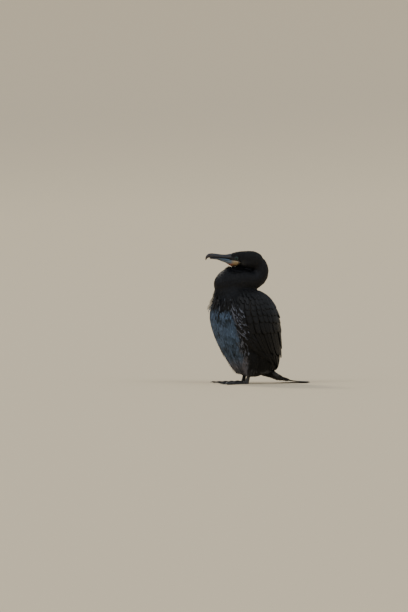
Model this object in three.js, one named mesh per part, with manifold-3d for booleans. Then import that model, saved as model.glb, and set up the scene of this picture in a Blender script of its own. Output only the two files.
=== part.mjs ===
// A great cormorant, life size, resting upright with its neck drawn in and its tail laid on the ground.
// Millimetres, +Z up, standing on Z = 0. It faces -Y, so its left side is +X.
import * as THREE from 'three';
import { mergeVertices } from 'three/addons/utils/BufferGeometryUtils.js';
import Module from 'manifold-3d';

const wasm = await Module();
wasm.setup();

// Driving sizes
const GAP = 0.3; // what touching pieces keep between them
const HEAD_TURN = THREE.MathUtils.degToRad(-12); // the head looks a little to the bird's right
const HEAD_PIVOT_Y = 16; // where the head turns on the neck
const EYE_RADIUS = 6.2;
const EYE = { x: 12.2, y: -43, z: 375.6 };
const LID_RADIUS = 5.1;
const LID_THICKNESS = 0.9;
const HEAD_FRONT = -61.4; // the feathering's edge at the bill
const NECK_SPLIT_Y = -12; // where the neck's lower loop ends and its upper one begins
const ANKLE_CUT_Z = 12; // where the foot ends and the shank begins
const WING_TOP = 276;
const WING_TIP = 40;
const WING_THICKNESS = 9;
const TAIL_FEATHERS = 14;
const TAIL_LENGTH_TO = 214; // how far back the longest tail feather reaches
const TAIL_CAMBER = 130; // the radius that tail feathers curve round
const WING_CAMBER = 110; // the radius that wing feathers curve round
const WEB_THICKNESS = 1.6;
const LEG_STEP = 20; // the right leg stands this much further back than the left

// Sections of each form, at the heights or distances that matter. Lengths are from the leg line, Y = 0.
const TORSO = [
  { z: 20, front: 10, back: 36, half: 9 },
  { z: 24, front: -10, back: 57, half: 24 },
  { z: 32, front: -27, back: 75, half: 36 },
  { z: 44, front: -37, back: 86, half: 46 },
  { z: 66, front: -50, back: 95, half: 58 },
  { z: 112, front: -80, back: 100, half: 71 },
  { z: 154, front: -98, back: 100, half: 76 },
  { z: 196, front: -109, back: 96, half: 75 },
  { z: 226, front: -107, back: 87, half: 70 },
  { z: 250, front: -99, back: 73, half: 62 },
  { z: 268, front: -90, back: 56, half: 53 },
  { z: 284, front: -74, back: 30, half: 38 },
  { z: 293, front: -52, back: 4, half: 18 },
];
// Head, from the bill's root backwards: crown, widest level, underside and half width
const HEAD = [
  { y: HEAD_FRONT, top: 389.7, wide: 374.5, bottom: 360.5, half: 9.4 },
  { y: -55, top: 391.9, wide: 373.8, bottom: 353.5, half: 12.3 },
  { y: -43, top: 395.2, wide: 372.5, bottom: 350, half: 16.6 },
  { y: -27, top: 397.3, wide: 371, bottom: 346, half: 20.6 },
  { y: -5, top: 398.3, wide: 370, bottom: 342, half: 23.6 },
  { y: 12, top: 397.2, wide: 369, bottom: 342, half: 24 },
  { y: 26, top: 391.5, wide: 366, bottom: 344, half: 21 },
  { y: 36, top: 384, wide: 362, bottom: 348, half: 15 },
  { y: 42, top: 372, wide: 360, bottom: 354, half: 6 },
];
const UPPER_BILL = [
  { y: HEAD_FRONT - GAP, top: 389.5, wide: 378, bottom: 373.7, half: 8.7 },
  { y: -72, top: 387.5, wide: 379, bottom: 374.9, half: 7.1 },
  { y: -84, top: 387.4, wide: 380.2, bottom: 376.2, half: 6 },
  { y: -98, top: 389, wide: 382, bottom: 377.3, half: 5.4 },
  { y: -110, top: 390.4, wide: 383, bottom: 377.8, half: 5.4 },
  { y: -121, top: 390.7, wide: 383.4, bottom: 377.6, half: 5.1 },
  { y: -125, top: 389.4, wide: 383.4, bottom: 377.8, half: 4.1 },
];
const LOWER_BILL = [
  { y: HEAD_FRONT - GAP, top: 373.4, wide: 369, bottom: 362.5, half: 8.3 },
  { y: -72, top: 374.6, wide: 371, bottom: 366, half: 6.7 },
  { y: -84, top: 375.9, wide: 373, bottom: 369.4, half: 5.4 },
  { y: -98, top: 377, wide: 374.6, bottom: 371.4, half: 4.5 },
  { y: -112, top: 377.5, wide: 375.6, bottom: 373.1, half: 3.7 },
  { y: -123, top: 377.2, wide: 375.6, bottom: 373.9, half: 2.2 },
];
// The hooked nail, as a bent cone: centre line, half width and half depth
const HOOK = [
  { y: -119, z: 384.1, half: 4.9, thick: 6.3 },
  { y: -126, z: 383.2, half: 4.4, thick: 6 },
  { y: -131, z: 379.6, half: 3.4, thick: 4.2 },
  { y: -133.6, z: 374.6, half: 2.1, thick: 2.4 },
  { y: -134.6, z: 369.4, half: 0.6, thick: 0.6 },
];
// The bare throat pouch, from under the bill to the corner of the mouth
const POUCH = [
  { y: -99, top: 372.8, wide: 372.2, bottom: 371.4, half: 2 },
  { y: -85, top: 371.5, wide: 370, bottom: 366.2, half: 5.2 },
  { y: -72, top: 369, wide: 367, bottom: 361, half: 7.1 },
  { y: -62, top: 371, wide: 366.5, bottom: 354.6, half: 9.8 },
  { y: -55, top: 371.4, wide: 366.5, bottom: 352, half: 13 },
  { y: -46, top: 370.4, wide: 366, bottom: 350.8, half: 16.8 },
  { y: -38, top: 368.4, wide: 365, bottom: 353.5, half: 18.7 },
  { y: -31, top: 365, wide: 363, bottom: 358, half: 19.8 },
];
// The neck's upper loop runs from the skull down behind it and forward to the crop; half is its half width
const NECK_LOOP = [
  { y: 22, z: 368, half: 19, thick: 17 },
  { y: 38, z: 360.5, half: 24, thick: 25 },
  { y: 46, z: 347, half: 26, thick: 27 },
  { y: 46.5, z: 331, half: 27, thick: 28 },
  { y: 38, z: 317.5, half: 28.5, thick: 28.5 },
  { y: 22, z: 309.5, half: 30, thick: 30.5 },
  { y: 0, z: 307, half: 32, thick: 38 },
  { y: -26, z: 303, half: 34.5, thick: 45 },
  { y: -52, z: 298.5, half: 36, thick: 47.5 },
  { y: -72, z: 297, half: 33, thick: 42 },
  { y: -88, z: 296.5, half: 24, thick: 29 },
  { y: -97, z: 296, half: 12, thick: 13 },
];
const NECK_ROOT = [
  { y: -26, z: 216, half: 50, thick: 52 },
  { y: -44, z: 252, half: 46, thick: 51 },
  { y: -52, z: 282, half: 39, thick: 47 },
  { y: -53, z: 306, half: 30, thick: 34 },
];
// The feathered thigh of the left leg, from the flank down to the heel
const THIGH = [
  { x: 50, y: 2, z: 120, half: 15, thick: 24 },
  { x: 49, y: -1, z: 92, half: 20, thick: 31 },
  { x: 46, y: -2, z: 66, half: 21, thick: 27 },
  { x: 43, y: -3, z: 44, half: 17.5, thick: 21 },
  { x: 41, y: -4, z: 29, half: 13, thick: 14.5 },
  { x: 40.3, y: -4.6, z: 22, half: 8, thick: 8.6 },
];
const SHANK = [
  { x: 40.5, y: -4.6, z: 33, half: 4, thick: 5.6 },
  { x: 39.6, y: -6, z: 20, half: 3.7, thick: 5.6 },
  { x: 38.6, y: -8, z: 12, half: 4.3, thick: 6.2 },
  { x: 38, y: -10, z: 5, half: 4.8, thick: 6.6 },
];
const FOOT_JOINT = { x: 38, y: -9 };
// Toes of the left foot, the hind one first: angle outwards from straight ahead, length, joints and root height
const TOES = [
  { angle: -72, length: 31, joints: 2, height: 6.4 },
  { angle: -25, length: 57, joints: 3, height: 7.4 },
  { angle: 2, length: 80, joints: 4, height: 7.8 },
  { angle: 28, length: 92, joints: 5, height: 7.6 },
];
const TOE_TIP_HEIGHT = 4.2;
const CLAW_LENGTH = 9;
// The wing's outline on the body: angles in degrees round from the breast, at fractions of the way down
const WING_EDGES = [
  { down: 0, front: 88, back: 116 },
  { down: 0.06, front: 72, back: 140 },
  { down: 0.2, front: 65, back: 160 },
  { down: 0.42, front: 67, back: 175 },
  { down: 0.6, front: 76, back: 177.5 },
  { down: 0.76, front: 94, back: 177 },
  { down: 0.9, front: 124, back: 174 },
  { down: 1, front: 150, back: 166 },
];
// Rows of wing feathers, the lowest layer first. Roots and tips run from the row's front feather to its back one:
// angles round the body in degrees, heights in millimetres, and how far the tips stand off the wing's shell. Each
// feather is tilted so that it lies under its neighbour nearer the back
const WING_ROWS = [
  { count: 6, root: [[104, 132], [142, 150]], tip: [[134, 72], [171, 33]], width: 15, lift: [3, 17], rise: 2, point: 0.7, tilt: 14 },
  { count: 6, root: [[80, 168], [150, 184]], tip: [[96, 98], [164, 76]], width: 22, lift: [5, 8], rise: 1.3, point: 0.45, tilt: 7 },
  { count: 3, root: [[144, 204], [168, 204]], tip: [[152, 108], [173, 84]], width: 19, lift: [7, 7], rise: 1, point: 0.6, tilt: 9 },
  { count: 6, root: [[77, 208], [160, 210]], tip: [[80, 150], [162, 152]], width: 24, lift: [5, 5], rise: 1, point: 0.4, tilt: 6 },
  { count: 6, root: [[74, 232], [164, 234]], tip: [[76, 188], [167, 190]], width: 24, lift: [4, 4], rise: 1, point: 0.4, tilt: 6 },
  { count: 5, root: [[75, 254], [158, 255]], tip: [[74, 216], [162, 218]], width: 23, lift: [3, 3.5], rise: 1, point: 0.35, tilt: 6 },
  { count: 4, root: [[83, 270], [138, 270]], tip: [[80, 240], [146, 241]], width: 21, lift: [2, 2.5], rise: 1, point: 0.35, tilt: 6 },
];
const FLIGHT_ROWS = 3; // the first rows are the long flight feathers, the rest short coverts
// The tail's stiff root under its coverts, and the line that its feathers lie along
const TAIL_ROOT = [
  { y: 56, z: 41, half: 21, above: 17, below: 19 },
  { y: 78, z: 32, half: 25, above: 12, below: 15 },
  { y: 100, z: 22, half: 27, above: 7.6, below: 10 },
  { y: 120, z: 13.6, half: 28, above: 4.4, below: 6 },
  { y: 140, z: 8.2, half: 25, above: 1.4, below: 2.4 },
];
const TAIL_LINE = [
  { y: 56, z: 41 },
  { y: 80, z: 31 },
  { y: 100, z: 22 },
  { y: 120, z: 13.8 },
  { y: 140, z: 8.2 },
  { y: 165, z: 4.2 },
  { y: 190, z: 2.2 },
  { y: 220, z: 1.1 },
];

const FEATHER = { name: 'feather_black', color: 0x17171a, roughness: 0.62, metalness: 0 };
const WHITE = { name: 'belly_white', color: 0x8f9296, roughness: 0.8, metalness: 0 };
const BRONZE = { name: 'wing_bronze', color: 0x2a2622, roughness: 0.55, metalness: 0 };
const HORN = { name: 'bill_horn', color: 0x5b6068, roughness: 0.4, metalness: 0 };
const POUCH_SKIN = { name: 'throat_skin', color: 0xc79a52, roughness: 0.6, metalness: 0 };
const EYE_GREEN = { name: 'eye', color: 0x2f5f50, roughness: 0.1, metalness: 0 };
const LEG_BLACK = { name: 'leg_skin', color: 0x17181a, roughness: 0.5, metalness: 0 };
const CLAW_HORN = { name: 'claw', color: 0x222020, roughness: 0.35, metalness: 0 };

const X = new THREE.Vector3(1, 0, 0);
const Y = new THREE.Vector3(0, 1, 0);
const Z = new THREE.Vector3(0, 0, 1);
const vec = (x, y, z) => new THREE.Vector3(x, y, z);
const mix = THREE.MathUtils.lerp;
const radians = THREE.MathUtils.degToRad;

// Solids: closed geometry to a manifold and back
function solidOf(geometry) {
  const bare = new THREE.BufferGeometry().setAttribute('position', geometry.getAttribute('position'));
  bare.setIndex(geometry.index);
  const merged = mergeVertices(bare, 1e-4);
  const corners = new Uint32Array(merged.index.array);
  const build = () => new wasm.Manifold(
    new wasm.Mesh({ numProp: 3, vertProperties: merged.attributes.position.array, triVerts: corners }),
  );
  const made = build();
  if (made.volume() > 0) return made;
  for (let i = 0; i < corners.length; i += 3) {
    [corners[i + 1], corners[i + 2]] = [corners[i + 2], corners[i + 1]];
  }
  return build();
}

function geometryOf(manifold) {
  const mesh = manifold.getMesh();
  return new THREE.BufferGeometry()
    .setAttribute('position', new THREE.BufferAttribute(new Float32Array(mesh.vertProperties), 3))
    .setIndex(new THREE.BufferAttribute(new Uint32Array(mesh.triVerts), 1));
}

// The largest closed body of a solid, without loose scraps or sealed hollows
function largest(manifold) {
  return manifold.decompose().reduce((a, b) => (b.volume() > a.volume() ? b : a));
}

const joined = (solids) => solids.reduce((a, b) => a.add(b));
const cutBy = (manifold, ...tools) => tools.reduce((a, b) => a.subtract(b), manifold);

function boxSolid(low, high) {
  const size = high.clone().sub(low);
  const centre = low.clone().add(high).multiplyScalar(0.5);
  return solidOf(new THREE.BoxGeometry(size.x, size.y, size.z).translate(centre.x, centre.y, centre.z));
}

function mirrored(manifold) {
  return solidOf(geometryOf(manifold).applyMatrix4(new THREE.Matrix4().makeScale(-1, 1, 1)));
}

// A smooth curve through a list of stations: every other value of the station at the given key's value
function at(stations, key, value) {
  const last = stations.length - 1;
  let i = 1;
  while (i < last && stations[i][key] * Math.sign(stations[last][key] - stations[0][key])
    < value * Math.sign(stations[last][key] - stations[0][key])) i++;
  const a = stations[i - 1];
  const b = stations[i];
  const before = stations[Math.max(i - 2, 0)];
  const after = stations[Math.min(i + 1, last)];
  const span = b[key] - a[key];
  const t = THREE.MathUtils.clamp((value - a[key]) / span, 0, 1);
  const found = { [key]: value };
  for (const name of Object.keys(a)) {
    if (name === key) continue;
    const leave = span * (b[name] - before[name]) / (b[key] - before[key]);
    const arrive = span * (after[name] - a[name]) / (after[key] - a[key]);
    found[name] = a[name] * (1 + 2 * t) * (1 - t) ** 2 + b[name] * t * t * (3 - 2 * t)
      + leave * t * (1 - t) ** 2 - arrive * t * t * (1 - t);
  }
  return found;
}

// A closed skin over rings of points that all have the same length, its ends closed by fans
function skinOver(rings) {
  const count = rings[0].length;
  const points = rings.flat();
  const middle = (ring) => ring.reduce((sum, p) => sum.add(p), vec(0, 0, 0)).divideScalar(count);
  points.push(middle(rings[0]), middle(rings[rings.length - 1]));
  const index = [];
  for (let i = 0; i + 1 < rings.length; i++) {
    for (let j = 0; j < count; j++) {
      const k = (j + 1) % count;
      const [a, b, c, d] = [i * count + j, i * count + k, (i + 1) * count + k, (i + 1) * count + j];
      index.push(a, b, c, a, c, d);
    }
  }
  const end = (rings.length - 1) * count;
  for (let j = 0; j < count; j++) {
    const k = (j + 1) % count;
    index.push(points.length - 2, k, j, points.length - 1, end + j, end + k);
  }
  const geometry = new THREE.BufferGeometry().setFromPoints(points);
  return solidOf(geometry.setIndex(index));
}

// An oval ring: across and up span its plane, and its top and bottom may differ
function oval({ centre, across, up, half, above, below }, sides, floor = -Infinity) {
  return Array.from({ length: sides }, (_, i) => {
    const turn = (i / sides) * 2 * Math.PI;
    const rise = Math.cos(turn);
    const p = centre.clone().addScaledVector(across, half * Math.sin(turn));
    p.addScaledVector(up, rise * (rise > 0 ? above : below));
    p.z = Math.max(p.z, floor);
    return p;
  });
}

const steps = (from, to, count) => Array.from({ length: count + 1 }, (_, i) => mix(from, to, i / count));

// A form whose sections stand across Y: the head, the bill and the pouch
function alongY(stations, count, sides, grow = 0) {
  const from = stations[0].y;
  const to = stations[stations.length - 1].y;
  const ends = Math.sign(to - from) * grow;
  return skinOver(steps(0, 1, count).map((t) => {
    const s = at(stations, 'y', mix(from, to, t));
    return oval({
      centre: vec(0, mix(from - ends, to + ends, t), s.wide),
      across: X,
      up: Z,
      half: s.half + grow,
      above: s.top - s.wide + grow,
      below: s.wide - s.bottom + grow,
    }, sides);
  }));
}

// A form that follows a bent line in its own length; across is the direction its half width is measured in
function alongLine(stations, count, sides, { across = X, grow = 0, floor } = {}) {
  const line = new THREE.CatmullRomCurve3(stations.map((s) => vec(s.x ?? 0, s.y, s.z)), false, 'centripetal');
  const sizes = stations.map((s, i) => ({ i, half: s.half, thick: s.thick }));
  return skinOver(steps(0, 1, count).map((t) => {
    const size = at(sizes, 'i', t * (stations.length - 1));
    const ahead = line.getTangent(t);
    const centre = line.getPoint(t);
    if (t === 0) centre.addScaledVector(ahead, -grow);
    if (t === 1) centre.addScaledVector(ahead, grow);
    const up = across.clone().cross(ahead).normalize();
    const thick = size.thick + grow;
    return oval({ centre, across, up, half: size.half + grow, above: thick, below: thick }, sides, floor);
  }));
}

// The torso: a point of its surface at an angle round from the breast and a height, raised by out
const TORSO_SQUARENESS = 0.88;
function torsoFrame(angle, z) {
  const { front, back, half } = at(TORSO, 'z', z);
  const deep = (back - front) / 2;
  const [s, c] = [Math.sin(angle), Math.cos(angle)];
  const bend = (v, power) => Math.sign(v) * Math.abs(v) ** power;
  const point = vec(half * bend(s, TORSO_SQUARENESS), (front + back) / 2 - deep * bend(c, TORSO_SQUARENESS), z);
  const outward = vec(
    bend(s, 2 - TORSO_SQUARENESS) / half,
    -bend(c, 2 - TORSO_SQUARENESS) / deep,
    0,
  ).normalize();
  return { point, outward };
}
function onTorso(angle, z, out) {
  const { point, outward } = torsoFrame(angle, z);
  return point.addScaledVector(outward, out);
}

function torso(grow = 0) {
  const low = TORSO[0].z;
  const high = TORSO[TORSO.length - 1].z;
  const sides = 26;
  const heights = steps(0, Math.PI, 16).map((turn) => mix(low, high, (turn / Math.PI) * 0.7 + 0.15 * (1 - Math.cos(turn))));
  return skinOver(heights.map((z) => {
    const ring = steps(0, 2 * Math.PI, sides).slice(0, -1).map((angle) => onTorso(angle, z, grow));
    const stretch = grow * (2 * (z - low) / (high - low) - 1);
    return ring.map((p) => p.setZ(p.z + stretch));
  }));
}

// A feather: a thin tapered plate along a spine, its two faces split into triangles alike
function vane({ spine, normal, width, taper, thickness = 0.9, roll = 0, camber, marks }) {
  const sections = marks.map((u) => {
    const centre = spine(u);
    const ahead = spine(Math.min(u + 0.02, 1)).sub(spine(Math.max(u - 0.02, 0))).normalize();
    const across = normal(u).clone().cross(ahead).normalize().applyAxisAngle(ahead, roll);
    const up = ahead.clone().cross(across).normalize();
    const half = (width / 2) * taper(u);
    const edge = thickness * 0.3;
    const drop = (half * half) / (2 * camber);
    const place = (side, rise) => centre.clone().addScaledVector(across, side).addScaledVector(up, rise);
    return [
      place(-half, edge - drop), place(0, thickness / 2), place(half, edge - drop),
      place(half, -edge - drop), place(0, -thickness / 2), place(-half, -edge - drop),
    ];
  });
  const points = sections.flat();
  const index = [];
  for (let i = 0; i + 1 < sections.length; i++) {
    for (let j = 0; j < 6; j++) {
      const k = (j + 1) % 6;
      const [a, b, c, d] = [i * 6 + j, i * 6 + k, (i + 1) * 6 + k, (i + 1) * 6 + j];
      if (j < 3) index.push(a, b, c, a, c, d);
      else index.push(a, b, d, b, c, d);
    }
  }
  const end = points.length - 6;
  for (const [a, b, c, d] of [[0, 1, 4, 5], [1, 2, 3, 4]]) {
    index.push(a, c, b, a, d, c, end + a, end + b, end + c, end + a, end + c, end + d);
  }
  return solidOf(new THREE.BufferGeometry().setFromPoints(points).setIndex(index));
}
const FLIGHT_MARKS = [0, 0.4, 0.8, 1]; // where along a feather its sections lie
const COVERT_MARKS = [0, 0.55, 1];
// How wide a feather is along its length; point says how sharp its tip is, from 0 to 1
const featherTaper = (point) => (u) => {
  const swell = mix(0.4, 1, Math.sin(Math.min(u / 0.5, 1) * Math.PI / 2));
  const tip = u > 0.6 ? Math.sqrt(Math.max(0, 1 - ((u - 0.6) / 0.4) ** mix(4, 1.4, point))) : 1;
  return swell * mix(0.16, 1, tip);
};

// The left wing: a shell that lies on the body, with its feathers in rows
function wingHeight(angle, z) {
  const down = (WING_TOP - z) / (WING_TOP - WING_TIP);
  const { front, back } = at(WING_EDGES, 'down', THREE.MathUtils.clamp(down, 0, 1));
  const across = THREE.MathUtils.clamp((angle - radians(front)) / radians(back - front), 0, 1);
  const swell = Math.sin(Math.PI * mix(0.12, 0.97, across)) ** 0.8;
  const along = Math.min(1, 3.5 * Math.sqrt(Math.max(down, 0))) * mix(1, 0.72, Math.max(down, 0));
  return 1.2 + WING_THICKNESS * swell * along;
}
function wingCore() {
  const rings = steps(0, 1, 11).map((t) => {
    const down = (1 - Math.cos(Math.PI * mix(0.06, 0.97, t))) / 2;
    const z = mix(WING_TOP, WING_TIP, down);
    const { front, back } = at(WING_EDGES, 'down', down);
    const angles = steps(radians(front), radians(back), 7);
    const outer = angles.map((angle, i) => onTorso(angle, z, i % 7 === 0 ? 0.9 : wingHeight(angle, z)));
    const inner = [angles[7], angles[5], angles[3], angles[1], angles[0]].map((angle) => onTorso(angle, z, -6));
    return [...outer, ...inner];
  });
  return skinOver(rings);
}
function wingFeathers() {
  return WING_ROWS.flatMap(({ count, root, tip, width, lift, rise, point, tilt }, row) => (
    steps(0, 1, count - 1).map((v) => {
      const pick = (ends, axis) => mix(ends[0][axis], ends[1][axis], v);
      const spine = (u) => {
        const angle = radians(mix(pick(root, 0), pick(tip, 0), u));
        const z = mix(pick(root, 1), pick(tip, 1), u);
        const sunk = 1.6;
        const standOff = mix(lift[0], lift[1], v);
        return onTorso(angle, z, wingHeight(angle, z) - sunk + (standOff + sunk) * u ** rise);
      };
      const normal = (u) => {
        const angle = radians(mix(pick(root, 0), pick(tip, 0), u));
        return torsoFrame(angle, mix(pick(root, 1), pick(tip, 1), u)).outward;
      };
      return vane({
        spine, normal, width, taper: featherTaper(point), roll: -radians(tilt), camber: WING_CAMBER,
        marks: row < FLIGHT_ROWS ? FLIGHT_MARKS : COVERT_MARKS,
      });
    })
  ));
}

// The tail: a stiff root under short coverts, and feathers that lie back along the ground
function tailRoot(grow = 0) {
  const from = TAIL_ROOT[0].y;
  const to = TAIL_ROOT[TAIL_ROOT.length - 1].y;
  return skinOver(steps(from, to, 7).map((y) => {
    const { z, half, above, below } = at(TAIL_ROOT, 'y', y);
    const place = { centre: vec(0, y, z), across: X, up: Z };
    return oval({ ...place, half: half + grow, above: above + grow, below: below + grow }, 16);
  }));
}
function tailFeathers() {
  const rootY = 96;
  return Array.from({ length: TAIL_FEATHERS }, (_, i) => {
    const place = i - (TAIL_FEATHERS - 1) / 2; // counted from the middle pair
    const reach = TAIL_LENGTH_TO - 4.2 * Math.abs(place);
    const topmost = place === -0.5; // one of the middle pair lies flat over the other
    const spine = (u) => {
      const y = mix(rootY, reach, u);
      return vec(mix(1.9, 7.2, u) * place, y, at(TAIL_LINE, 'y', y).z + (topmost ? 1.2 : 0));
    };
    return vane({
      spine,
      normal: () => Z,
      width: 16.5,
      taper: featherTaper(0.2),
      roll: topmost ? 0 : Math.sign(place) * radians(-9),
      camber: TAIL_CAMBER,
      marks: FLIGHT_MARKS,
    });
  });
}

// The left foot: four toes with a web between each two, flat on the ground
const toeWay = ({ angle }) => vec(Math.sin(radians(angle)), -Math.cos(radians(angle)), 0);
function toe(one) {
  const way = toeWay(one);
  const across = way.clone().cross(Z);
  const count = 2 * one.joints + 1;
  return skinOver(steps(0, 1, count).map((u) => {
    const knuckle = 1 + 0.13 * Math.cos(2 * Math.PI * one.joints * u);
    const height = mix(one.height, TOE_TIP_HEIGHT, u ** 0.8) * knuckle;
    const centre = vec(FOOT_JOINT.x, FOOT_JOINT.y, height * 0.4).addScaledVector(way, one.length * u);
    return oval({ centre, across, up: Z, half: height * 0.48, above: height * 0.6, below: height }, 7, 0);
  }));
}
function web() {
  const tips = TOES.map((one) => vec(FOOT_JOINT.x, FOOT_JOINT.y, 0).addScaledVector(toeWay(one), one.length - 1.5));
  const outline = new THREE.Shape();
  outline.moveTo(FOOT_JOINT.x + 2, FOOT_JOINT.y + 3);
  tips.forEach((tip, i) => {
    if (i === 0) {
      outline.lineTo(tip.x, tip.y);
      return;
    }
    const before = tips[i - 1];
    const joint = vec(FOOT_JOINT.x, FOOT_JOINT.y, 0);
    const hollow = before.clone().add(tip).multiplyScalar(0.5).lerp(joint, 0.16);
    outline.quadraticCurveTo(hollow.x, hollow.y, tip.x, tip.y);
  });
  outline.closePath();
  const plate = new THREE.ExtrudeGeometry(outline, { depth: WEB_THICKNESS, bevelEnabled: false, curveSegments: 6 });
  return solidOf(plate);
}
function claw(one) {
  const way = toeWay(one);
  const across = way.clone().cross(Z);
  const start = one.length + GAP;
  return skinOver(steps(0, 1, 4).map((u) => {
    const size = mix(2.1, 0.3, u ** 1.3);
    const droop = 3.4 - 2.6 * u * u;
    const centre = vec(FOOT_JOINT.x, FOOT_JOINT.y, droop).addScaledVector(way, start + CLAW_LENGTH * Math.sin(u * 1.35));
    return oval({ centre, across, up: Z, half: size * 0.8, above: size, below: size }, 6, 0.05);
  }));
}

// The head in its own frame, which turns about the neck
function headParts() {
  const upper = joined([alongY(UPPER_BILL, 8, 12), alongLine(HOOK, 6, 10)]);
  const upperGrown = joined([alongY(UPPER_BILL, 8, 12, GAP), alongLine(HOOK, 6, 10, { grow: GAP })]);
  const lower = alongY(LOWER_BILL, 7, 12);
  const lowerGrown = alongY(LOWER_BILL, 7, 12, GAP);
  const pouch = alongY(POUCH, 9, 14);
  const pouchGrown = alongY(POUCH, 9, 14, GAP);
  const skull = alongY(HEAD, 12, 18);
  const eye = (side, grow) => {
    const ball = new THREE.SphereGeometry(EYE_RADIUS + grow, 14, 8).rotateZ(Math.PI / 2);
    return solidOf(ball.translate(side * EYE.x, EYE.y, EYE.z));
  };
  const lid = (side) => {
    const ring = new THREE.TorusGeometry(LID_RADIUS, LID_THICKNESS, 5, 16).rotateY(Math.PI / 2);
    ring.rotateZ(side * radians(-18));
    return solidOf(ring.translate(side * (EYE.x + 4.1), EYE.y - 0.9, EYE.z));
  };
  const lidded = joined([skull, lid(1), lid(-1)]);
  return {
    head: cutBy(lidded, pouchGrown, eye(1, GAP), eye(-1, GAP)),
    bill_upper: upper,
    bill_lower: cutBy(lower, upperGrown),
    throat_pouch: cutBy(pouch, lowerGrown, upperGrown),
    eye_left: eye(1, 0),
    eye_right: eye(-1, 0),
    filled: joined([alongY(HEAD, 12, 18, GAP), pouchGrown]),
  };
}

const bird = new THREE.Group();
const headGroup = new THREE.Group();
headGroup.position.set(0, HEAD_PIVOT_Y, 0);
headGroup.rotation.z = HEAD_TURN;
bird.add(headGroup);
headGroup.updateMatrixWorld(true);

function add(parent, name, manifold, finish) {
  const mesh = new THREE.Mesh(geometryOf(largest(manifold)), new THREE.MeshStandardMaterial(finish));
  mesh.name = name;
  parent.add(mesh);
}

const { filled, ...headPieces } = headParts();
const headFinish = {
  head: FEATHER, bill_upper: HORN, bill_lower: HORN, throat_pouch: POUCH_SKIN, eye_left: EYE_GREEN, eye_right: EYE_GREEN,
};
for (const [name, manifold] of Object.entries(headPieces)) add(headGroup, name, manifold, headFinish[name]);
const headInPlace = solidOf(geometryOf(filled).applyMatrix4(headGroup.matrixWorld));

const body = torso();
const bodyGrown = torso(GAP);
const FAR = 400;
const behindSplit = boxSolid(vec(-FAR, NECK_SPLIT_Y + GAP / 2, 0), vec(FAR, FAR, FAR * 2));
const beforeSplit = boxSolid(vec(-FAR, -FAR, 0), vec(FAR, NECK_SPLIT_Y - GAP / 2, FAR * 2));
const loop = alongLine(NECK_LOOP, 17, 20);
const loopGrown = alongLine(NECK_LOOP, 17, 20, { grow: GAP });
const root = alongLine(NECK_ROOT, 5, 20);
add(bird, 'neck_upper', cutBy(loop.intersect(behindSplit), headInPlace, bodyGrown), FEATHER);
add(bird, 'neck_lower', cutBy(joined([loop, root]).intersect(beforeSplit), headInPlace, bodyGrown), FEATHER);
add(bird, 'torso', body, WHITE);

// Wings, thighs, shanks, feet and claws come in pairs; the right leg stands a little further back
const wing = cutBy(joined([wingCore(), ...wingFeathers()]), bodyGrown, loopGrown, tailRoot(GAP));
const thighWhole = (grow) => alongLine(THIGH, 9, 16, { grow });
const legWhole = joined([alongLine(SHANK, 5, 10), web(), ...TOES.map(toe)]);
const shankOnly = boxSolid(vec(-FAR, -FAR, ANKLE_CUT_Z + GAP), vec(FAR, FAR, FAR));
const footOnly = boxSolid(vec(-FAR, -FAR, 0), vec(FAR, FAR, ANKLE_CUT_Z));
for (const [side, step] of [['left', 0], ['right', LEG_STEP]]) {
  const leg = new THREE.Group();
  leg.position.y = step;
  bird.add(leg);
  const turned = side === 'left' ? (m) => m : mirrored;
  const bodyHere = solidOf(geometryOf(bodyGrown).translate(0, -step, 0));
  const thighHere = solidOf(geometryOf(turned(thighWhole(GAP))).translate(0, step, 0));
  add(bird, `wing_${side}`, cutBy(turned(wing), thighHere), BRONZE);
  add(leg, `thigh_${side}`, cutBy(turned(thighWhole(0)), bodyHere), WHITE);
  add(leg, `shank_${side}`, cutBy(turned(legWhole.intersect(shankOnly)), turned(thighWhole(GAP)), bodyHere), LEG_BLACK);
  add(leg, `foot_${side}`, turned(legWhole.intersect(footOnly)), LEG_BLACK);
  TOES.forEach((one, i) => add(leg, `claw_${side}_${i + 1}`, turned(claw(one)), CLAW_HORN));
}

const ground = boxSolid(vec(-FAR, -FAR, -FAR), vec(FAR, FAR, 0));
add(bird, 'tail', cutBy(joined([tailRoot(), ...tailFeathers()]), bodyGrown, ground), FEATHER);

// The origin lies on the ground, under the middle of the bird's whole length
const extent = new THREE.Box3().setFromObject(bird);
bird.position.y = -(extent.min.y + extent.max.y) / 2;

export default bird;
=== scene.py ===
"""A great cormorant, life size, standing at rest: skin, feathers, bill, eyes and feet, in a plain studio."""
import math

import bpy
import numpy as np
from bpy.props import FloatProperty, FloatVectorProperty, IntProperty, PointerProperty
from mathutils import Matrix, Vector
from mathutils.bvhtree import BVHTree
from mathutils.kdtree import KDTree


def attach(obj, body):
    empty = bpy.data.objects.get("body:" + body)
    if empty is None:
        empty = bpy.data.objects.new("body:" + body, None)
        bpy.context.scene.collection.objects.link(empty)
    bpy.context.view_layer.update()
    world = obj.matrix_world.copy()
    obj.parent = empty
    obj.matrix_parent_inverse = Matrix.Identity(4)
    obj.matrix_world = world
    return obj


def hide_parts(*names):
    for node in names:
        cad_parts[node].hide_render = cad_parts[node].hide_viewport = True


bl_info = {
    "name": "Cormorant",
    "version": (1, 0, 0),
    "blender": (4, 5, 0),
    "location": "View3D > Sidebar > Cormorant",
    "description": "Builds a life-size cormorant with its feathers over the packed model",
    "category": "Add Mesh",
}

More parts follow.
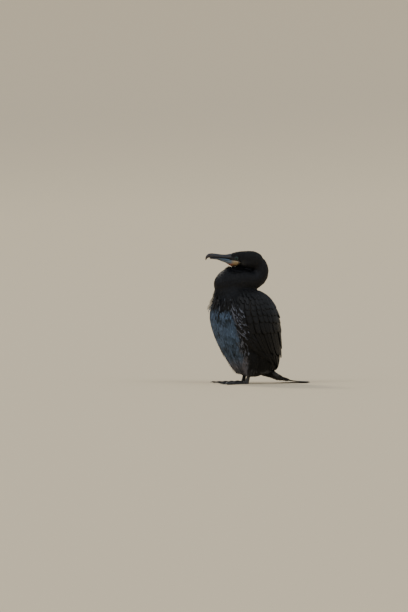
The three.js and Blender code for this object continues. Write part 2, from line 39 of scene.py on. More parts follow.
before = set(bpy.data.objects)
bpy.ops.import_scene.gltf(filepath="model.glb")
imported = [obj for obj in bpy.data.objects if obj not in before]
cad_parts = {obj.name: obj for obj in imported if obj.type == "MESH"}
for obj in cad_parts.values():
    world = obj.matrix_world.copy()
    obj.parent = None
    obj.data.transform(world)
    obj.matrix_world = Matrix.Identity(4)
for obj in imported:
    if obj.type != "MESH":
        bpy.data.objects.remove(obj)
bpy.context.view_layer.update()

# Sizes are in millimetres from the leg line, as in the part's source, and become metres with MM
MM = 0.001
LEG_LINE = np.array([0.0, -47.04, 0.0])
GAP = 0.3
# The head turns on the neck at a pivot, and places on eyes, bare face, bill and pouch are measured from there
HEAD_TURN = math.radians(-12)
HEAD_PIVOT = np.array([0.0, 16.0, 0.0])
EYE = np.array([12.2, -43.0, 375.6])
EYE_RADIUS = 6.2
HEAD_FRONT = -61.4
FACE_BACK = -30

# Torso sections: height, front, back, half width
TORSO = np.array([
    [20, 10, 36, 9],
    [24, -10, 57, 24],
    [32, -27, 75, 36],
    [44, -37, 86, 46],
    [66, -50, 95, 58],
    [112, -80, 100, 71],
    [154, -98, 100, 76],
    [196, -109, 96, 75],
    [226, -107, 87, 70],
    [250, -99, 73, 62],
    [268, -90, 56, 53],
    [284, -74, 30, 38],
    [293, -52, 4, 18],
], float)
TORSO_SQUARENESS = 0.88
# The folded wing's outline: fraction of the way down, front and back angle round the body
WING_TOP = 276
WING_TIP = 40
WING_THICKNESS = 9
WING_EDGES = np.array([
    [0, 88, 116],
    [0.06, 72, 140],
    [0.2, 65, 160],
    [0.42, 67, 175],
    [0.6, 76, 177.5],
    [0.76, 94, 177],
    [0.9, 124, 174],
    [1, 150, 166],
], float)
# The tail's root: distance back, height, half width, above, below
TAIL_ROOT = np.array([
    [56, 41, 21, 17, 19],
    [78, 32, 25, 12, 15],
    [100, 22, 27, 7.6, 10],
    [120, 13.6, 28, 4.4, 6],
    [140, 8.2, 25, 1.4, 2.4],
], float)
TAIL_LINE = np.array([
    [56, 41],
    [80, 31],
    [100, 22],
    [120, 13.8],
    [140, 8.2],
    [165, 4.2],
    [190, 2.4],
    [220, 1.6],
], float)
# Where the tail feathers start and end, how far apart they lie there, their half width and their tilt
TAIL_START = 92
TAIL_REACH = 213
TAIL_SPREAD = (1.9, 7.2)
TAIL_FEATHER_HALF = 8.3
TAIL_TILT = math.radians(-9)
# Where thin pieces lie on the ground, their undersides stand at most this far off it
LOWEST = 0.1
# The line that the neck's feathers lie along, from the skull to the breast: distance back and height
NECK_LINE = np.array([
    [22, 368],
    [38, 360.5],
    [46, 347],
    [46.5, 331],
    [38, 317.5],
    [22, 309.5],
    [0, 305],
    [-22, 300],
    [-42, 288],
    [-53, 266],
    [-54, 236],
], float)
# Bill sections: distance back, top, widest level, underside, half width
UPPER_BILL = np.array([
    [HEAD_FRONT - GAP, 389.5, 378, 373.7, 8.7],
    [-72, 387.5, 379, 374.9, 7.1],
    [-84, 387.4, 380.2, 376.2, 6],
    [-98, 389, 382, 377.3, 5.4],
    [-110, 390.4, 383, 377.8, 5.4],
    [-121, 390.7, 383.4, 377.6, 5.1],
    [-125, 389.4, 383.4, 377.8, 4.1],
], float)
LOWER_BILL = np.array([
    [HEAD_FRONT - GAP, 373.4, 369, 362.5, 8.3],
    [-72, 374.6, 371, 366, 6.7],
    [-84, 375.9, 373, 369.4, 5.4],
    [-98, 377, 374.6, 371.4, 4.5],
    [-112, 377.5, 375.6, 373.1, 3.7],
    [-123, 377.2, 375.6, 373.9, 2.2],
], float)
# The hooked nail: distance back, height, half width, half depth
HOOK = np.array([
    [-115, 384.2, 5.1, 6.2],
    [-120.5, 384.1, 4.9, 6.4],
    [-126, 383.2, 4.4, 6],
    [-131, 379.6, 3.4, 4.2],
    [-133.6, 374.6, 2.1, 2.4],
    [-134.6, 369.4, 0.6, 0.6],
], float)
# The throat pouch, in the same columns as the bill
POUCH = np.array([
    [-99, 372.8, 372.2, 371.4, 2],
    [-85, 371.5, 370, 366.2, 5.2],
    [-72, 369, 367, 361, 7.1],
    [-62, 371, 366.5, 354.6, 9.8],
    [-55, 371.4, 366.5, 352, 13],
    [-46, 370.4, 366, 350.8, 16.8],
    [-38, 368.4, 365, 353.5, 18.7],
    [-31, 365, 363, 358, 19.8],
], float)
# The left foot: where its toes meet, and each toe's outward angle, length, joints and height at the root
FOOT_JOINT = np.array([38.0, -9.0])
TOES = [(-72, 31, 2, 6.4), (-25, 57, 3, 7.4), (2, 80, 4, 7.8), (28, 92, 5, 7.6)]
TOE_TIP_HEIGHT = 4.2
CLAW_LENGTH = 9
WEB_STOPS_SHORT = 1.5
WEB_THICKNESS = 1.5
CLAW_ROOT = 1.2
LEG_STEP = {"left": 0.0, "right": 20.0}
SIDES = ((1, "left"), (-1, "right"))
# The left shank: place sideways, back and in height, half width, half depth
SHANK = np.array([
    [40.5, -4.6, 33, 4, 5.6],
    [39.6, -6, 20, 3.7, 5.6],
    [38.6, -8, 12, 4.3, 6.2],
    [38, -10, 5, 4.8, 6.6],
], float)

# The pale belly's rear border: height, how far back it is unbroken, and how far back its last streaks show
BELLY_BORDER = np.array([
    [20, 0, 7],
    [74, -2, 6],
    [96, -15, 7],
    [124, -20, 10],
    [180, -27, 8],
    [212, -36, 2],
    [240, -46, -8],
], float)
# Darker clouds on the belly: how far back, height, half length and half height
BELLY_CLOUDS = np.array([
    [-24, 130, 11, 14],
    [-84, 158, 15, 7],
    [-58, 120, 15, 8],
    [-34, 96, 12, 8],
    [-66, 192, 12, 8],
], float)


# Number helpers
def unit(a):
    return a / np.maximum(np.linalg.norm(a, axis=-1, keepdims=True), 1e-12)


def full_turn(count):
    return np.linspace(0, 2 * math.pi, count, endpoint=False)


def smooth(low, high, x):
    t = np.clip((np.asarray(x, float) - low) / (high - low), 0, 1)
    return t * t * (3 - 2 * t)


def mix(a, b, t):
    return a + (b - a) * t


def through(stations, at):
    """A smooth curve through a table's rows, read at values of its first column."""
    keys = stations[:, 0]
    if keys[0] > keys[-1]:
        return through(stations[::-1], at)
    slope = np.gradient(stations[:, 1:], keys, axis=0)
    at = np.clip(np.asarray(at, float), keys[0], keys[-1])
    i = np.clip(np.searchsorted(keys, at) - 1, 0, len(keys) - 2)
    span = keys[i + 1] - keys[i]
    t = ((at - keys[i]) / span)[..., None]
    span = span[..., None]
    start, end = stations[i, 1:], stations[i + 1, 1:]
    return (start * (1 + 2 * t) * (1 - t) ** 2 + end * t * t * (3 - 2 * t)
            + span * slope[i] * t * (1 - t) ** 2 - span * slope[i + 1] * t * t * (1 - t))


def in_row(points):
    """Points in millimetres from the leg line, as metres in the row's frame."""
    return (np.asarray(points, float) + LEG_LINE) * MM


def from_row(points):
    return np.asarray(points, float) / MM - LEG_LINE


def head_turned(points, back=False):
    """Places points of the head, measured from where it turns on the neck, or takes them back there."""
    angle = -HEAD_TURN if back else HEAD_TURN
    c, s = math.cos(angle), math.sin(angle)
    turn = np.array([[c, -s, 0], [s, c, 0], [0, 0, 1]])
    if back:
        return (np.asarray(points, float) - HEAD_PIVOT) @ turn.T
    return np.asarray(points, float) @ turn.T + HEAD_PIVOT


def bend(value, power):
    return np.sign(value) * np.abs(value) ** power


def torso_at(angle, z, out=0.0):
    """A point of the torso and its outward direction, at angles round from the breast and heights."""
    front, back, half = np.moveaxis(through(TORSO, z), -1, 0)
    deep = (back - front) / 2
    s, c = np.sin(angle), np.cos(angle)
    q = TORSO_SQUARENESS
    point = np.stack([half * bend(s, q), (front + back) / 2 - deep * bend(c, q), z + 0 * s], -1)
    outward = unit(np.stack([bend(s, 2 - q) / half, -bend(c, 2 - q) / deep, 0 * s], -1))
    return point + outward * np.asarray(out)[..., None], outward


def torso_angle(points):
    """How far round from the breast a point lies, in radians, on either side."""
    front, back, half = np.moveaxis(through(TORSO, points[:, 2]), -1, 0)
    deep = (back - front) / 2
    s = bend(points[:, 0] / half, 1 / TORSO_SQUARENESS)
    c = bend(-(points[:, 1] - (front + back) / 2) / deep, 1 / TORSO_SQUARENESS)
    return np.abs(np.arctan2(s, c))


def sideways_place(points):
    """How far back a point shows in a view from the front quarter, the same for both sides of the bird."""
    return 0.375 * np.abs(points[..., 0]) + 0.927 * points[..., 1]


def wing_height(angle, z):
    """How far the folded wing stands off the torso."""
    down = (WING_TOP - z) / (WING_TOP - WING_TIP)
    front, back = np.moveaxis(through(WING_EDGES, down), -1, 0)
    across = np.clip((np.degrees(angle) - front) / (back - front), 0, 1)
    swell = np.sin(np.pi * mix(0.12, 0.97, across)) ** 0.8
    down = np.maximum(down, 0)
    return 1.2 + WING_THICKNESS * swell * np.minimum(1, 3.5 * np.sqrt(down)) * mix(1, 0.72, down)


def egg_ring(sides, y, z, half, above, below, above_power=1.0, side_power=1.0, fold=0.0):
    """A ring across the body's length, of its own height above and below its widest level."""
    turn = full_turn(sides)
    rise = np.cos(turn)
    height = np.where(rise > 0, bend(rise, above_power) * above, rise * (below + fold))
    return np.stack([(half + fold) * bend(np.sin(turn), side_power), 0 * turn + y, z + height], -1)


# Shader helpers
class Wire:
    """A number coming out of a shader socket, so that maths on it can be written as a plain expression."""

    def __init__(self, look, socket):
        self.look = look
        self.socket = socket

    def __add__(self, other):
        return self.look.maths("ADD", self, other)

    def __sub__(self, other):
        return self.look.maths("SUBTRACT", self, other)

    def __rsub__(self, other):
        return self.look.maths("SUBTRACT", other, self)

    def __mul__(self, other):
        return self.look.maths("MULTIPLY", self, other)


class Look:
    """A material under construction."""

    def __init__(self, name):
        self.material = bpy.data.materials.new(name)
        self.material.use_nodes = True
        self.tree = self.material.node_tree
        self.shader = self.tree.nodes["Principled BSDF"]

    def plug(self, socket, value):
        """Links a wire to a socket, or sets the socket to a constant."""
        if isinstance(value, Wire):
            self.tree.links.new(value.socket, socket)
        else:
            socket.default_value = (*value, 1.0) if socket.type == "RGBA" else value

    def node(self, kind, output, settings, *values, **named):
        made = self.tree.nodes.new(kind)
        for key, value in settings.items():
            setattr(made, key, value)
        for key, value in [*enumerate(values), *named.items()]:
            self.plug(made.inputs[key if isinstance(key, int) else key.replace("_", " ")], value)
        return Wire(self, made.outputs[output])

    def maths(self, operation, *values, clamp=False):
        return self.node("ShaderNodeMath", "Value", {"operation": operation, "use_clamp": clamp}, *values)

    def vector(self, operation, output, *values):
        return self.node("ShaderNodeVectorMath", output, {"operation": operation}, *values)

    def attribute(self, name, output="Fac"):
        return self.node("ShaderNodeAttribute", output, {"attribute_name": name})

    def place(self):
        return self.node("ShaderNodeTexCoord", "Object", {})

    def axis(self, name, vector):
        return self.node("ShaderNodeSeparateXYZ", name, {}, vector)

    def noise(self, scale, detail=3.0):
        return self.node("ShaderNodeTexNoise", "Fac", {}, Vector=self.place(), Scale=scale, Detail=detail,
                         Roughness=0.55)

    def cells(self, scale):
        return self.node("ShaderNodeTexVoronoi", "Distance", {}, Vector=self.place(), Scale=scale)

    def step(self, value, low, high):
        settings = {"interpolation_type": "SMOOTHSTEP"}
        return self.node("ShaderNodeMapRange", "Result", settings, value, low, high, 0.0, 1.0)

    def blend(self, factor, first, second, how="MIX"):
        made = self.tree.nodes.new("ShaderNodeMix")
        made.data_type = "RGBA"
        made.blend_type = how
        for index, value in ((0, factor), (6, first), (7, second)):
            self.plug(made.inputs[index], value)
        return Wire(self, made.outputs[2])

    def set(self, **sockets):
        for key, value in sockets.items():
            self.plug(self.shader.inputs[key.replace("_", " ")], value)
        return self

    def bump(self, height, strength=0.5, distance=0.0004):
        return self.set(Normal=self.node(
            "ShaderNodeBump", "Normal", {}, Strength=strength, Distance=distance, Height=height))


# Mesh helpers
def alone(*objects):
    """Selects these objects only, with the first one active."""
    bpy.ops.object.select_all(action="DESELECT")
    for one in objects:
        one.select_set(True)
    bpy.context.view_layer.objects.active = objects[0]


def linked(name, data):
    """A new object in the scene."""
    made = bpy.data.objects.new(name, data)
    bpy.context.scene.collection.objects.link(made)
    return made


def numbers(items, field, width=3, kind=np.float32):
    """A field of all of a mesh's vertices, edges or triangles, as rows of an array."""
    values = np.empty(len(items) * width, kind)
    items.foreach_get(field, values)
    return values.reshape(-1, width)


def fresh(add, **settings):
    """Adds a primitive with nothing else selected."""
    bpy.ops.object.select_all(action="DESELECT")
    add(**settings)
    return bpy.context.object


def edited(piece, operator, **settings):
    """Runs an edit-mode operator on the whole of a piece."""
    alone(piece)
    bpy.ops.object.mode_set(mode="EDIT")
    bpy.ops.mesh.select_all(action="SELECT")
    operator(**settings)
    bpy.ops.object.mode_set(mode="OBJECT")


def applied(piece, kind, **settings):
    """Adds a modifier and applies it."""
    alone(piece)
    modifier = piece.modifiers.new(kind.title(), kind)
    for key, value in settings.items():
        setattr(modifier, key, value)
    bpy.ops.object.modifier_apply(modifier=modifier.name)


def node_copy(name):
    """A copy of a CAD node with its loose triangles merged."""
    piece = linked(name + "_copy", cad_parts[name].data.copy())
    piece.data.materials.clear()
    edited(piece, bpy.ops.mesh.remove_doubles, threshold=1e-6)
    return piece


def fused(name, pieces):
    """Joins pieces into the first of them."""
    alone(*pieces)
    if len(pieces) > 1:
        bpy.ops.object.join()
    pieces[0].name = pieces[0].data.name = name
    return pieces[0]


def loft(name, rings, subdivide=0):
    """A grid bent round into a tube through rings of points, in metres, and closed at both ends."""
    rings = np.asarray(rings)
    count, sides = rings.shape[:2]
    piece = fresh(bpy.ops.mesh.primitive_grid_add, x_subdivisions=sides, y_subdivisions=count - 1, size=1)
    piece.name = piece.data.name = name
    round_again = np.concatenate([rings, rings[:, :1]], 1)
    piece.data.vertices.foreach_set("co", round_again.reshape(-1))
    bpy.ops.object.mode_set(mode="EDIT")
    bpy.ops.mesh.select_all(action="SELECT")
    bpy.ops.mesh.remove_doubles(threshold=1e-7)
    bpy.ops.mesh.select_all(action="DESELECT")
    bpy.ops.mesh.select_mode(type="EDGE")
    bpy.ops.mesh.select_non_manifold(extend=False)
    bpy.ops.mesh.fill_holes(sides=0)
    bpy.ops.mesh.select_mode(type="VERT")
    bpy.ops.mesh.select_all(action="SELECT")
    bpy.ops.mesh.normals_make_consistent(inside=False)
    bpy.ops.object.mode_set(mode="OBJECT")
    if subdivide:
        applied(piece, "SUBSURF", levels=subdivide, render_levels=subdivide)
    return piece


def shaded(piece, angle=50):
    """Shades a piece smooth up to an angle in degrees."""
    alone(piece)
    bpy.ops.object.shade_smooth_by_angle(angle=math.radians(angle))
    return piece


def finished(piece, look, slot, *nodes):
    """Gives a piece its material, its body and the CAD nodes that it stands for."""
    piece.data.materials.clear()
    piece.data.materials.append(look.material)
    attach(piece, "root")
    if nodes:
        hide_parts(*nodes)
    return piece


def mesh_from(name, points, face_sets):
    """A mesh of many small faces, made from arrays."""
    mesh = bpy.data.meshes.new(name)
    mesh.vertices.add(len(points))
    mesh.vertices.foreach_set("co", points.reshape(-1).astype(np.float32))
    corners = np.concatenate([faces.reshape(-1) for faces in face_sets])
    sizes = np.concatenate([np.full(len(faces), faces.shape[1]) for faces in face_sets])
    starts = np.concatenate([[0], np.cumsum(sizes)[:-1]])
    mesh.loops.add(len(corners))
    mesh.loops.foreach_set("vertex_index", corners.astype(np.int32))
    mesh.polygons.add(len(sizes))
    mesh.polygons.foreach_set("loop_start", starts.astype(np.int32))
    mesh.update(calc_edges=True)
    return mesh, corners


def vertex_places(mesh):
    """A mesh's vertices in millimetres from the leg line."""
    return from_row(numbers(mesh.vertices, "co"))


def with_alpha(colours):
    return np.concatenate([colours, np.ones((len(colours), 1))], 1)


def write_attribute(mesh, name, kind, values):
    attribute = mesh.attributes.new(name, kind, "POINT")
    field = {"FLOAT": "value", "FLOAT_COLOR": "color"}[kind]
    attribute.data.foreach_set(field, np.asarray(values, np.float32).reshape(-1))


# A feather's cross-section: places from edge to edge, and how far its upper face rises there
PLAIN_SECTION = (np.array([-1.0, 0.0, 1.0]), np.array([0.0, 1.0, 0.0]))
FINE_SECTION = (
    np.array([-1.0, -0.72, -0.34, 0.0, 0.34, 0.72, 1.0]),
    np.array([0.0, 0.5, 0.45, 1.0, 0.45, 0.5, 0.0]),
)


def feather_mesh(name, spine, out, half, section, thickness, cup, roll=None, tint=None, fringe=None,
                 size=None, home=None, patch=0.003):
    """Many feathers as one mesh. spine and out are (feathers, stations, 3), half is their half widths.

    tint, fringe and size are read by feather_look. home is the middle of each feather's patch on OFBake.
    """
    across_places, rise = section
    columns = len(across_places)
    feathers, stations = half.shape
    ahead = unit(np.gradient(spine, axis=1))
    across = unit(np.cross(out, ahead))
    up = np.cross(ahead, across)
    if roll is not None:
        c, s = np.cos(roll)[:, None, None], np.sin(roll)[:, None, None]
        across, up = across * c + up * s, up * c - across * s
    under = np.arange(columns - 2, 0, -1)
    order = np.concatenate([np.arange(columns), under])
    lift = np.concatenate([rise, -0.35 * np.ones(len(under))]) * thickness
    ring = len(order)
    side = across_places[order] * half[..., None]
    height = lift - cup * side ** 2
    points = (spine[:, :, None] + across[:, :, None] * side[..., None] + up[:, :, None] * height[..., None])
    index = np.arange(feathers * stations * ring).reshape(feathers, stations, ring)
    following = np.roll(index, -1, axis=2)
    walls = np.stack([index[:, :-1], index[:, 1:], following[:, 1:], following[:, :-1]], -1).reshape(-1, 4)
    ends = np.concatenate([index[:, 0], index[:, -1, ::-1]])
    mesh, corners = mesh_from(name, points.reshape(-1, 3), [walls, ends])
    along = np.broadcast_to(np.linspace(0, 1, stations)[None, :, None], index.shape).reshape(-1)
    sideways = np.broadcast_to((across_places[order] * 0.5 + 0.5)[None, None, :], index.shape).reshape(-1)
    vane = np.stack([sideways, along], -1)
    mesh.uv_layers.new(name="vane").data.foreach_set("uv", vane[corners].reshape(-1).astype(np.float32))
    per = stations * ring
    if home is not None:
        placed = np.repeat(home, per, axis=0) + (vane - 0.5) * patch
        baked = mesh.uv_layers.new(name="OFBake")
        baked.data.foreach_set("uv", placed[corners].reshape(-1).astype(np.float32))
    write_attribute(mesh, "tint", "FLOAT_COLOR", np.repeat(with_alpha(tint), per, axis=0))
    write_attribute(mesh, "fringe", "FLOAT", np.repeat(np.broadcast_to(fringe, feathers), per))
    write_attribute(mesh, "size", "FLOAT", np.repeat(np.broadcast_to(size, feathers), per))
    column = numbers(mesh.edges, "vertices", 2, np.int32) % ring
    sharp = (column[:, 0] == column[:, 1]) & ((column[:, 0] == 0) | (column[:, 0] == columns - 1))
    mesh.attributes.new("sharp_edge", "BOOLEAN", "EDGE").data.foreach_set("value", sharp)
    mesh.shade_smooth()
    return linked(name, mesh)


def patches(count, across):
    """Middles of equal square patches, laid out in rows on a unit square."""
    place = np.arange(count)
    return (np.stack([place % across, place // across], -1) + 0.5) / across


# Where a small feather has its stations from root to tip, by how many spans lie between them
FEATHER_MARKS = {3: (0, 0.5, 0.88, 1), 4: (0, 0.42, 0.76, 0.94, 1), 5: (0, 0.34, 0.62, 0.84, 0.95, 1)}


def feather_outline(stations, point, root=0.4):
    """Half-width factors along a feather: point says how sharp its tip is, from 0 to 1."""
    u = np.asarray(stations, float)
    swell = mix(root, 1, np.sin(np.minimum(u / 0.5, 1) * math.pi / 2))
    fall = np.clip((u - 0.6) / 0.4, 0, 1)
    point = np.asarray(point, float)
    tip = np.sqrt(np.clip(1 - fall ** mix(4, 1.4, point), 0, 1))
    return swell * mix(0.12, 1, tip)


# The skin's regions, and what the skin hands on to the feathers that grow on it
HEAD, NECK, TORSO_PART, THIGH, RUMP = range(5)
shared = {}


class CormorantSizes(bpy.types.PropertyGroup):
    skin_voxel: FloatProperty(
        name="Skin grain", description="Size of the skin's smallest faces", default=0.0019, min=0.001,
        unit="LENGTH")
    coat_depth: FloatProperty(
        name="Coat depth", description="How far the skin lies under the feathers' outline", default=0.0012,
        unit="LENGTH")
    feather_scale: FloatProperty(
        name="Feather size", description="Scales every small feather", default=1.0, min=0.5)
    tail_feathers: IntProperty(
        name="Tail feathers", description="How many feathers the tail has", default=14, min=8)
    secondaries: IntProperty(
        name="Secondaries", description="Secondary feathers that show on each wing", default=12, min=2)
    primaries: IntProperty(
        name="Primaries", description="Primary feathers that show on each wing", default=7, min=2)


def colour_property(name, default):
    return FloatVectorProperty(
        name=name, description=name + " colour", default=default, subtype="COLOR", min=0, max=1)


class CormorantColours(bpy.types.PropertyGroup):
    crown: colour_property("Crown and nape", (0.0062, 0.0066, 0.0068))
    neck: colour_property("Neck", (0.0068, 0.0074, 0.0098))
    cheek: colour_property("Cheek", (0.0190, 0.0200, 0.0255))
    breast: colour_property("Breast band", (0.0070, 0.0065, 0.0054))
    # The belly's, its mottles' and the thigh's colours are darker than the whitish plumage, and the belly's
    # are bluer: painted shade, and on the belly painted blue skylight
    belly: colour_property("Belly", (0.080, 0.124, 0.204))
    shade: colour_property("Belly's mottles", (0.026, 0.042, 0.064))
    streak: colour_property("Flank's streaks", (0.125, 0.135, 0.170))
    thigh: colour_property("Thigh", (0.125, 0.116, 0.128))
    flank: colour_property("Flank", (0.0052, 0.0054, 0.0062))
    mantle: colour_property("Back", (0.0078, 0.0080, 0.0092))
    wing: colour_property("Wing", (0.0058, 0.0061, 0.0072))
    vent: colour_property("Vent's mottles", (0.085, 0.085, 0.092))
    fleck: colour_property("Breast's flecks", (0.060, 0.066, 0.080))
    rim: colour_property("Feathers beside the pouch", (0.060, 0.057, 0.052))
    pouch: colour_property("Throat skin", (0.30, 0.205, 0.100))


def sizes():
    return bpy.context.scene.cormorant_sizes


def hue(name):
    return np.array(getattr(bpy.context.scene.cormorant_colours, name))


# Plumage markings
def markings(points, region, jitter):
    """The plumage's colour at points in millimetres, and its feathers' fringe: below 0 dark, above 0 pale."""
    angle = np.degrees(torso_angle(points))
    x, y, z = points.T
    count = len(points)

    def spread(weight, name, base):
        return mix(base, hue(name), weight[:, None])

    wander = 7 * np.sin(z / 9 + 2 * np.sin(y / 13)) + 5 * np.sin(y / 5 + z / 17 + x / 7)
    colour = np.broadcast_to(hue("neck"), (count, 3)).copy()
    torso = (region == TORSO_PART) | (region == THIGH)
    low = torso | (region == RUMP)
    colour = spread(np.where(low, smooth(268, 236, z + wander * 0.6), 0), "breast", colour)
    belly = np.where(torso, smooth(238, 208, z + wander + 12 * jitter), 0)
    place = sideways_place(points)
    border, streaks_end = through(BELLY_BORDER, z).T
    unbroken = smooth(6, -8, place - border + 0.3 * wander + 3 * jitter)
    streaked = smooth(4, -4, place - streaks_end + 0.3 * wander) * smooth(0.05, 0.25, jitter) * (1 - unbroken)
    dapple = 0.5 + 0.5 * np.sin(x / 6.1 + 1.7 * np.sin(z / 11)) * np.sin(z / 7.3 + 2 * np.sin(y / 9))
    cloud = 0.5 + 0.5 * np.sin(x / 15 + 2 * np.sin(z / 27)) * np.sin(z / 19 + 1.5 * np.sin(x / 21))
    mottle = smooth(0.28, 0.92, 0.55 * dapple + 0.45 * cloud + 0.20 * jitter)
    clouds = np.zeros(count)
    for back, height, long, tall in BELLY_CLOUDS:
        along, up = (place - back + 0.5 * wander) / long, (z - height + 0.5 * wander) / tall
        clouds = np.maximum(clouds, np.exp(-along ** 2 - up ** 2) * smooth(-0.7, 0.3, jitter))
    ragged = smooth(180, 222, z) * smooth(0.0, 0.3, jitter) * 0.8
    streaked = belly * np.where(torso, streaked, 0)
    belly = belly * unbroken * (1 - ragged)
    flank = np.where(torso, smooth(58, 78, angle), 0)
    colour = spread(flank, "flank", colour)
    # The belly's colours hold painted shade and painted blue skylight
    colour = mix(colour, mix(hue("belly"), hue("shade"), mottle[:, None]), belly[:, None])
    colour = spread(belly * clouds * 0.72, "breast", colour)
    colour = spread(streaked * (1 - 0.55 * dapple), "streak", colour)
    colour = spread(belly * smooth(100, 55, z) * (1 - 0.6 * mottle) * (1 - 0.7 * clouds), "thigh", colour)
    below = through(TAIL_ROOT, y)[:, 0] - z
    vent = np.where(low, smooth(52, 30, z) * smooth(20, 45, y) * smooth(-2, 4, below), 0)
    beside = smooth(54, 40, z) * smooth(6, 16, place) * smooth(70, 52, place)
    vent = np.maximum(vent, torso * beside)
    colour = spread(vent * (0.15 + 0.85 * smooth(-0.1, 0.6, jitter)), "vent", colour)
    thigh = np.where(region == THIGH, smooth(11, -3, place + 5 * jitter), 0)
    colour = spread(thigh * 0.8, "thigh", colour)
    back = np.where(torso, smooth(120, 140, angle) + smooth(262, 276, z) * smooth(-20, 10, y), 0).clip(0, 1)
    colour = spread(back, "mantle", colour)
    fringe = belly * np.clip(jitter, -0.7, 0.8) - 0.9 * back
    colour[low & (z > 232) & (z < 272) & (angle < 80) & (jitter > 0.8)] = hue("fleck")
    head = region == HEAD
    colour = spread(head * smooth(362, 374, z), "crown", colour)
    own = head_turned(points, back=True)
    cheek = np.exp(-((own[:, 1] + 22) / 15) ** 2 - ((own[:, 2] - 363) / 6.5) ** 2)
    colour = spread(head * cheek * 0.8, "cheek", colour)
    rim = np.exp(-((own[:, 1] + 29) / 5.5) ** 2 - ((own[:, 2] - 361) / 5) ** 2)
    colour = spread(head * rim * 0.6, "rim", colour)
    return colour, fringe


def first_lie(points, region):
    """The way that feathers lie at points in millimetres, before it is pressed onto the skin."""
    dense = []
    for one, two in zip(NECK_LINE[:-1], NECK_LINE[1:]):
        dense.extend(mix(one, two, t) for t in np.linspace(0, 1, 8, endpoint=False))
    dense = np.array(dense)
    heading = np.gradient(dense, axis=0)
    for _ in range(6):
        heading[1:-1] = (heading[:-2] + heading[1:-1] + heading[2:]) / 3
    lie = np.zeros((len(points), 3))
    on_neck = region == NECK
    gaps = np.linalg.norm(points[on_neck][:, None, 1:] - dense[None], axis=-1)
    near = heading[gaps.argmin(1)]
    lie[on_neck, 1:] = near / np.linalg.norm(near, axis=1, keepdims=True)
    backward = np.array([-math.sin(HEAD_TURN), math.cos(HEAD_TURN), -0.12])
    lie[region == HEAD] = backward
    body = region == TORSO_PART
    low = smooth(70, 34, points[body, 2])[:, None]
    lie[body] = mix(np.array([0, 0.28, -1.0]), np.array([0, 1.0, -0.25]), low)
    lie[region == THIGH] = (0, 0.12, -1)
    lie[region == RUMP] = (0, 1, -0.35)
    return lie


def skin_place(points, region):
    """Where points lie on an unwrap of the skin, from 0 to 1: round the body and along it."""
    centre = np.array([[0, -61], [0, 20], [0, 20], [40, -4], [0, 60]])[region]
    sideways = points[:, 0] - centre[:, 0] * np.sign(points[:, 0])
    turn = np.arctan2(sideways, points[:, 1] - centre[:, 1] + 1e-3) / (2 * math.pi) + 0.5
    lower = np.array([0.80, 0.56, 0.14, 0.02, 0.02])[region]
    reach = np.array([0.18, 0.22, 0.40, 0.10, 0.10])[region]
    span = np.array([[340, 400], [255, 382], [18, 295], [20, 120], [0, 60]])[region]
    along = lower + reach * np.clip((points[:, 2] - span[:, 0]) / (span[:, 1] - span[:, 0]), 0, 1)
    left = np.array([0.02, 0.02, 0.02, 0.02, 0.55])[region]
    wide = np.array([0.96, 0.96, 0.96, 0.45, 0.42])[region]
    return np.stack([left + wide * turn, along], -1)


def skin_look():
    look = Look("skin_under_feathers")
    tint = look.attribute("tint", "Color")
    down = look.noise(700, 4)
    tone = look.blend(down * 0.5, tint, (0.01, 0.01, 0.011))
    look.set(Base_Color=tone, Roughness=0.85, Specular_IOR_Level=0.1)
    return look.bump(down, 0.6, 0.0006)


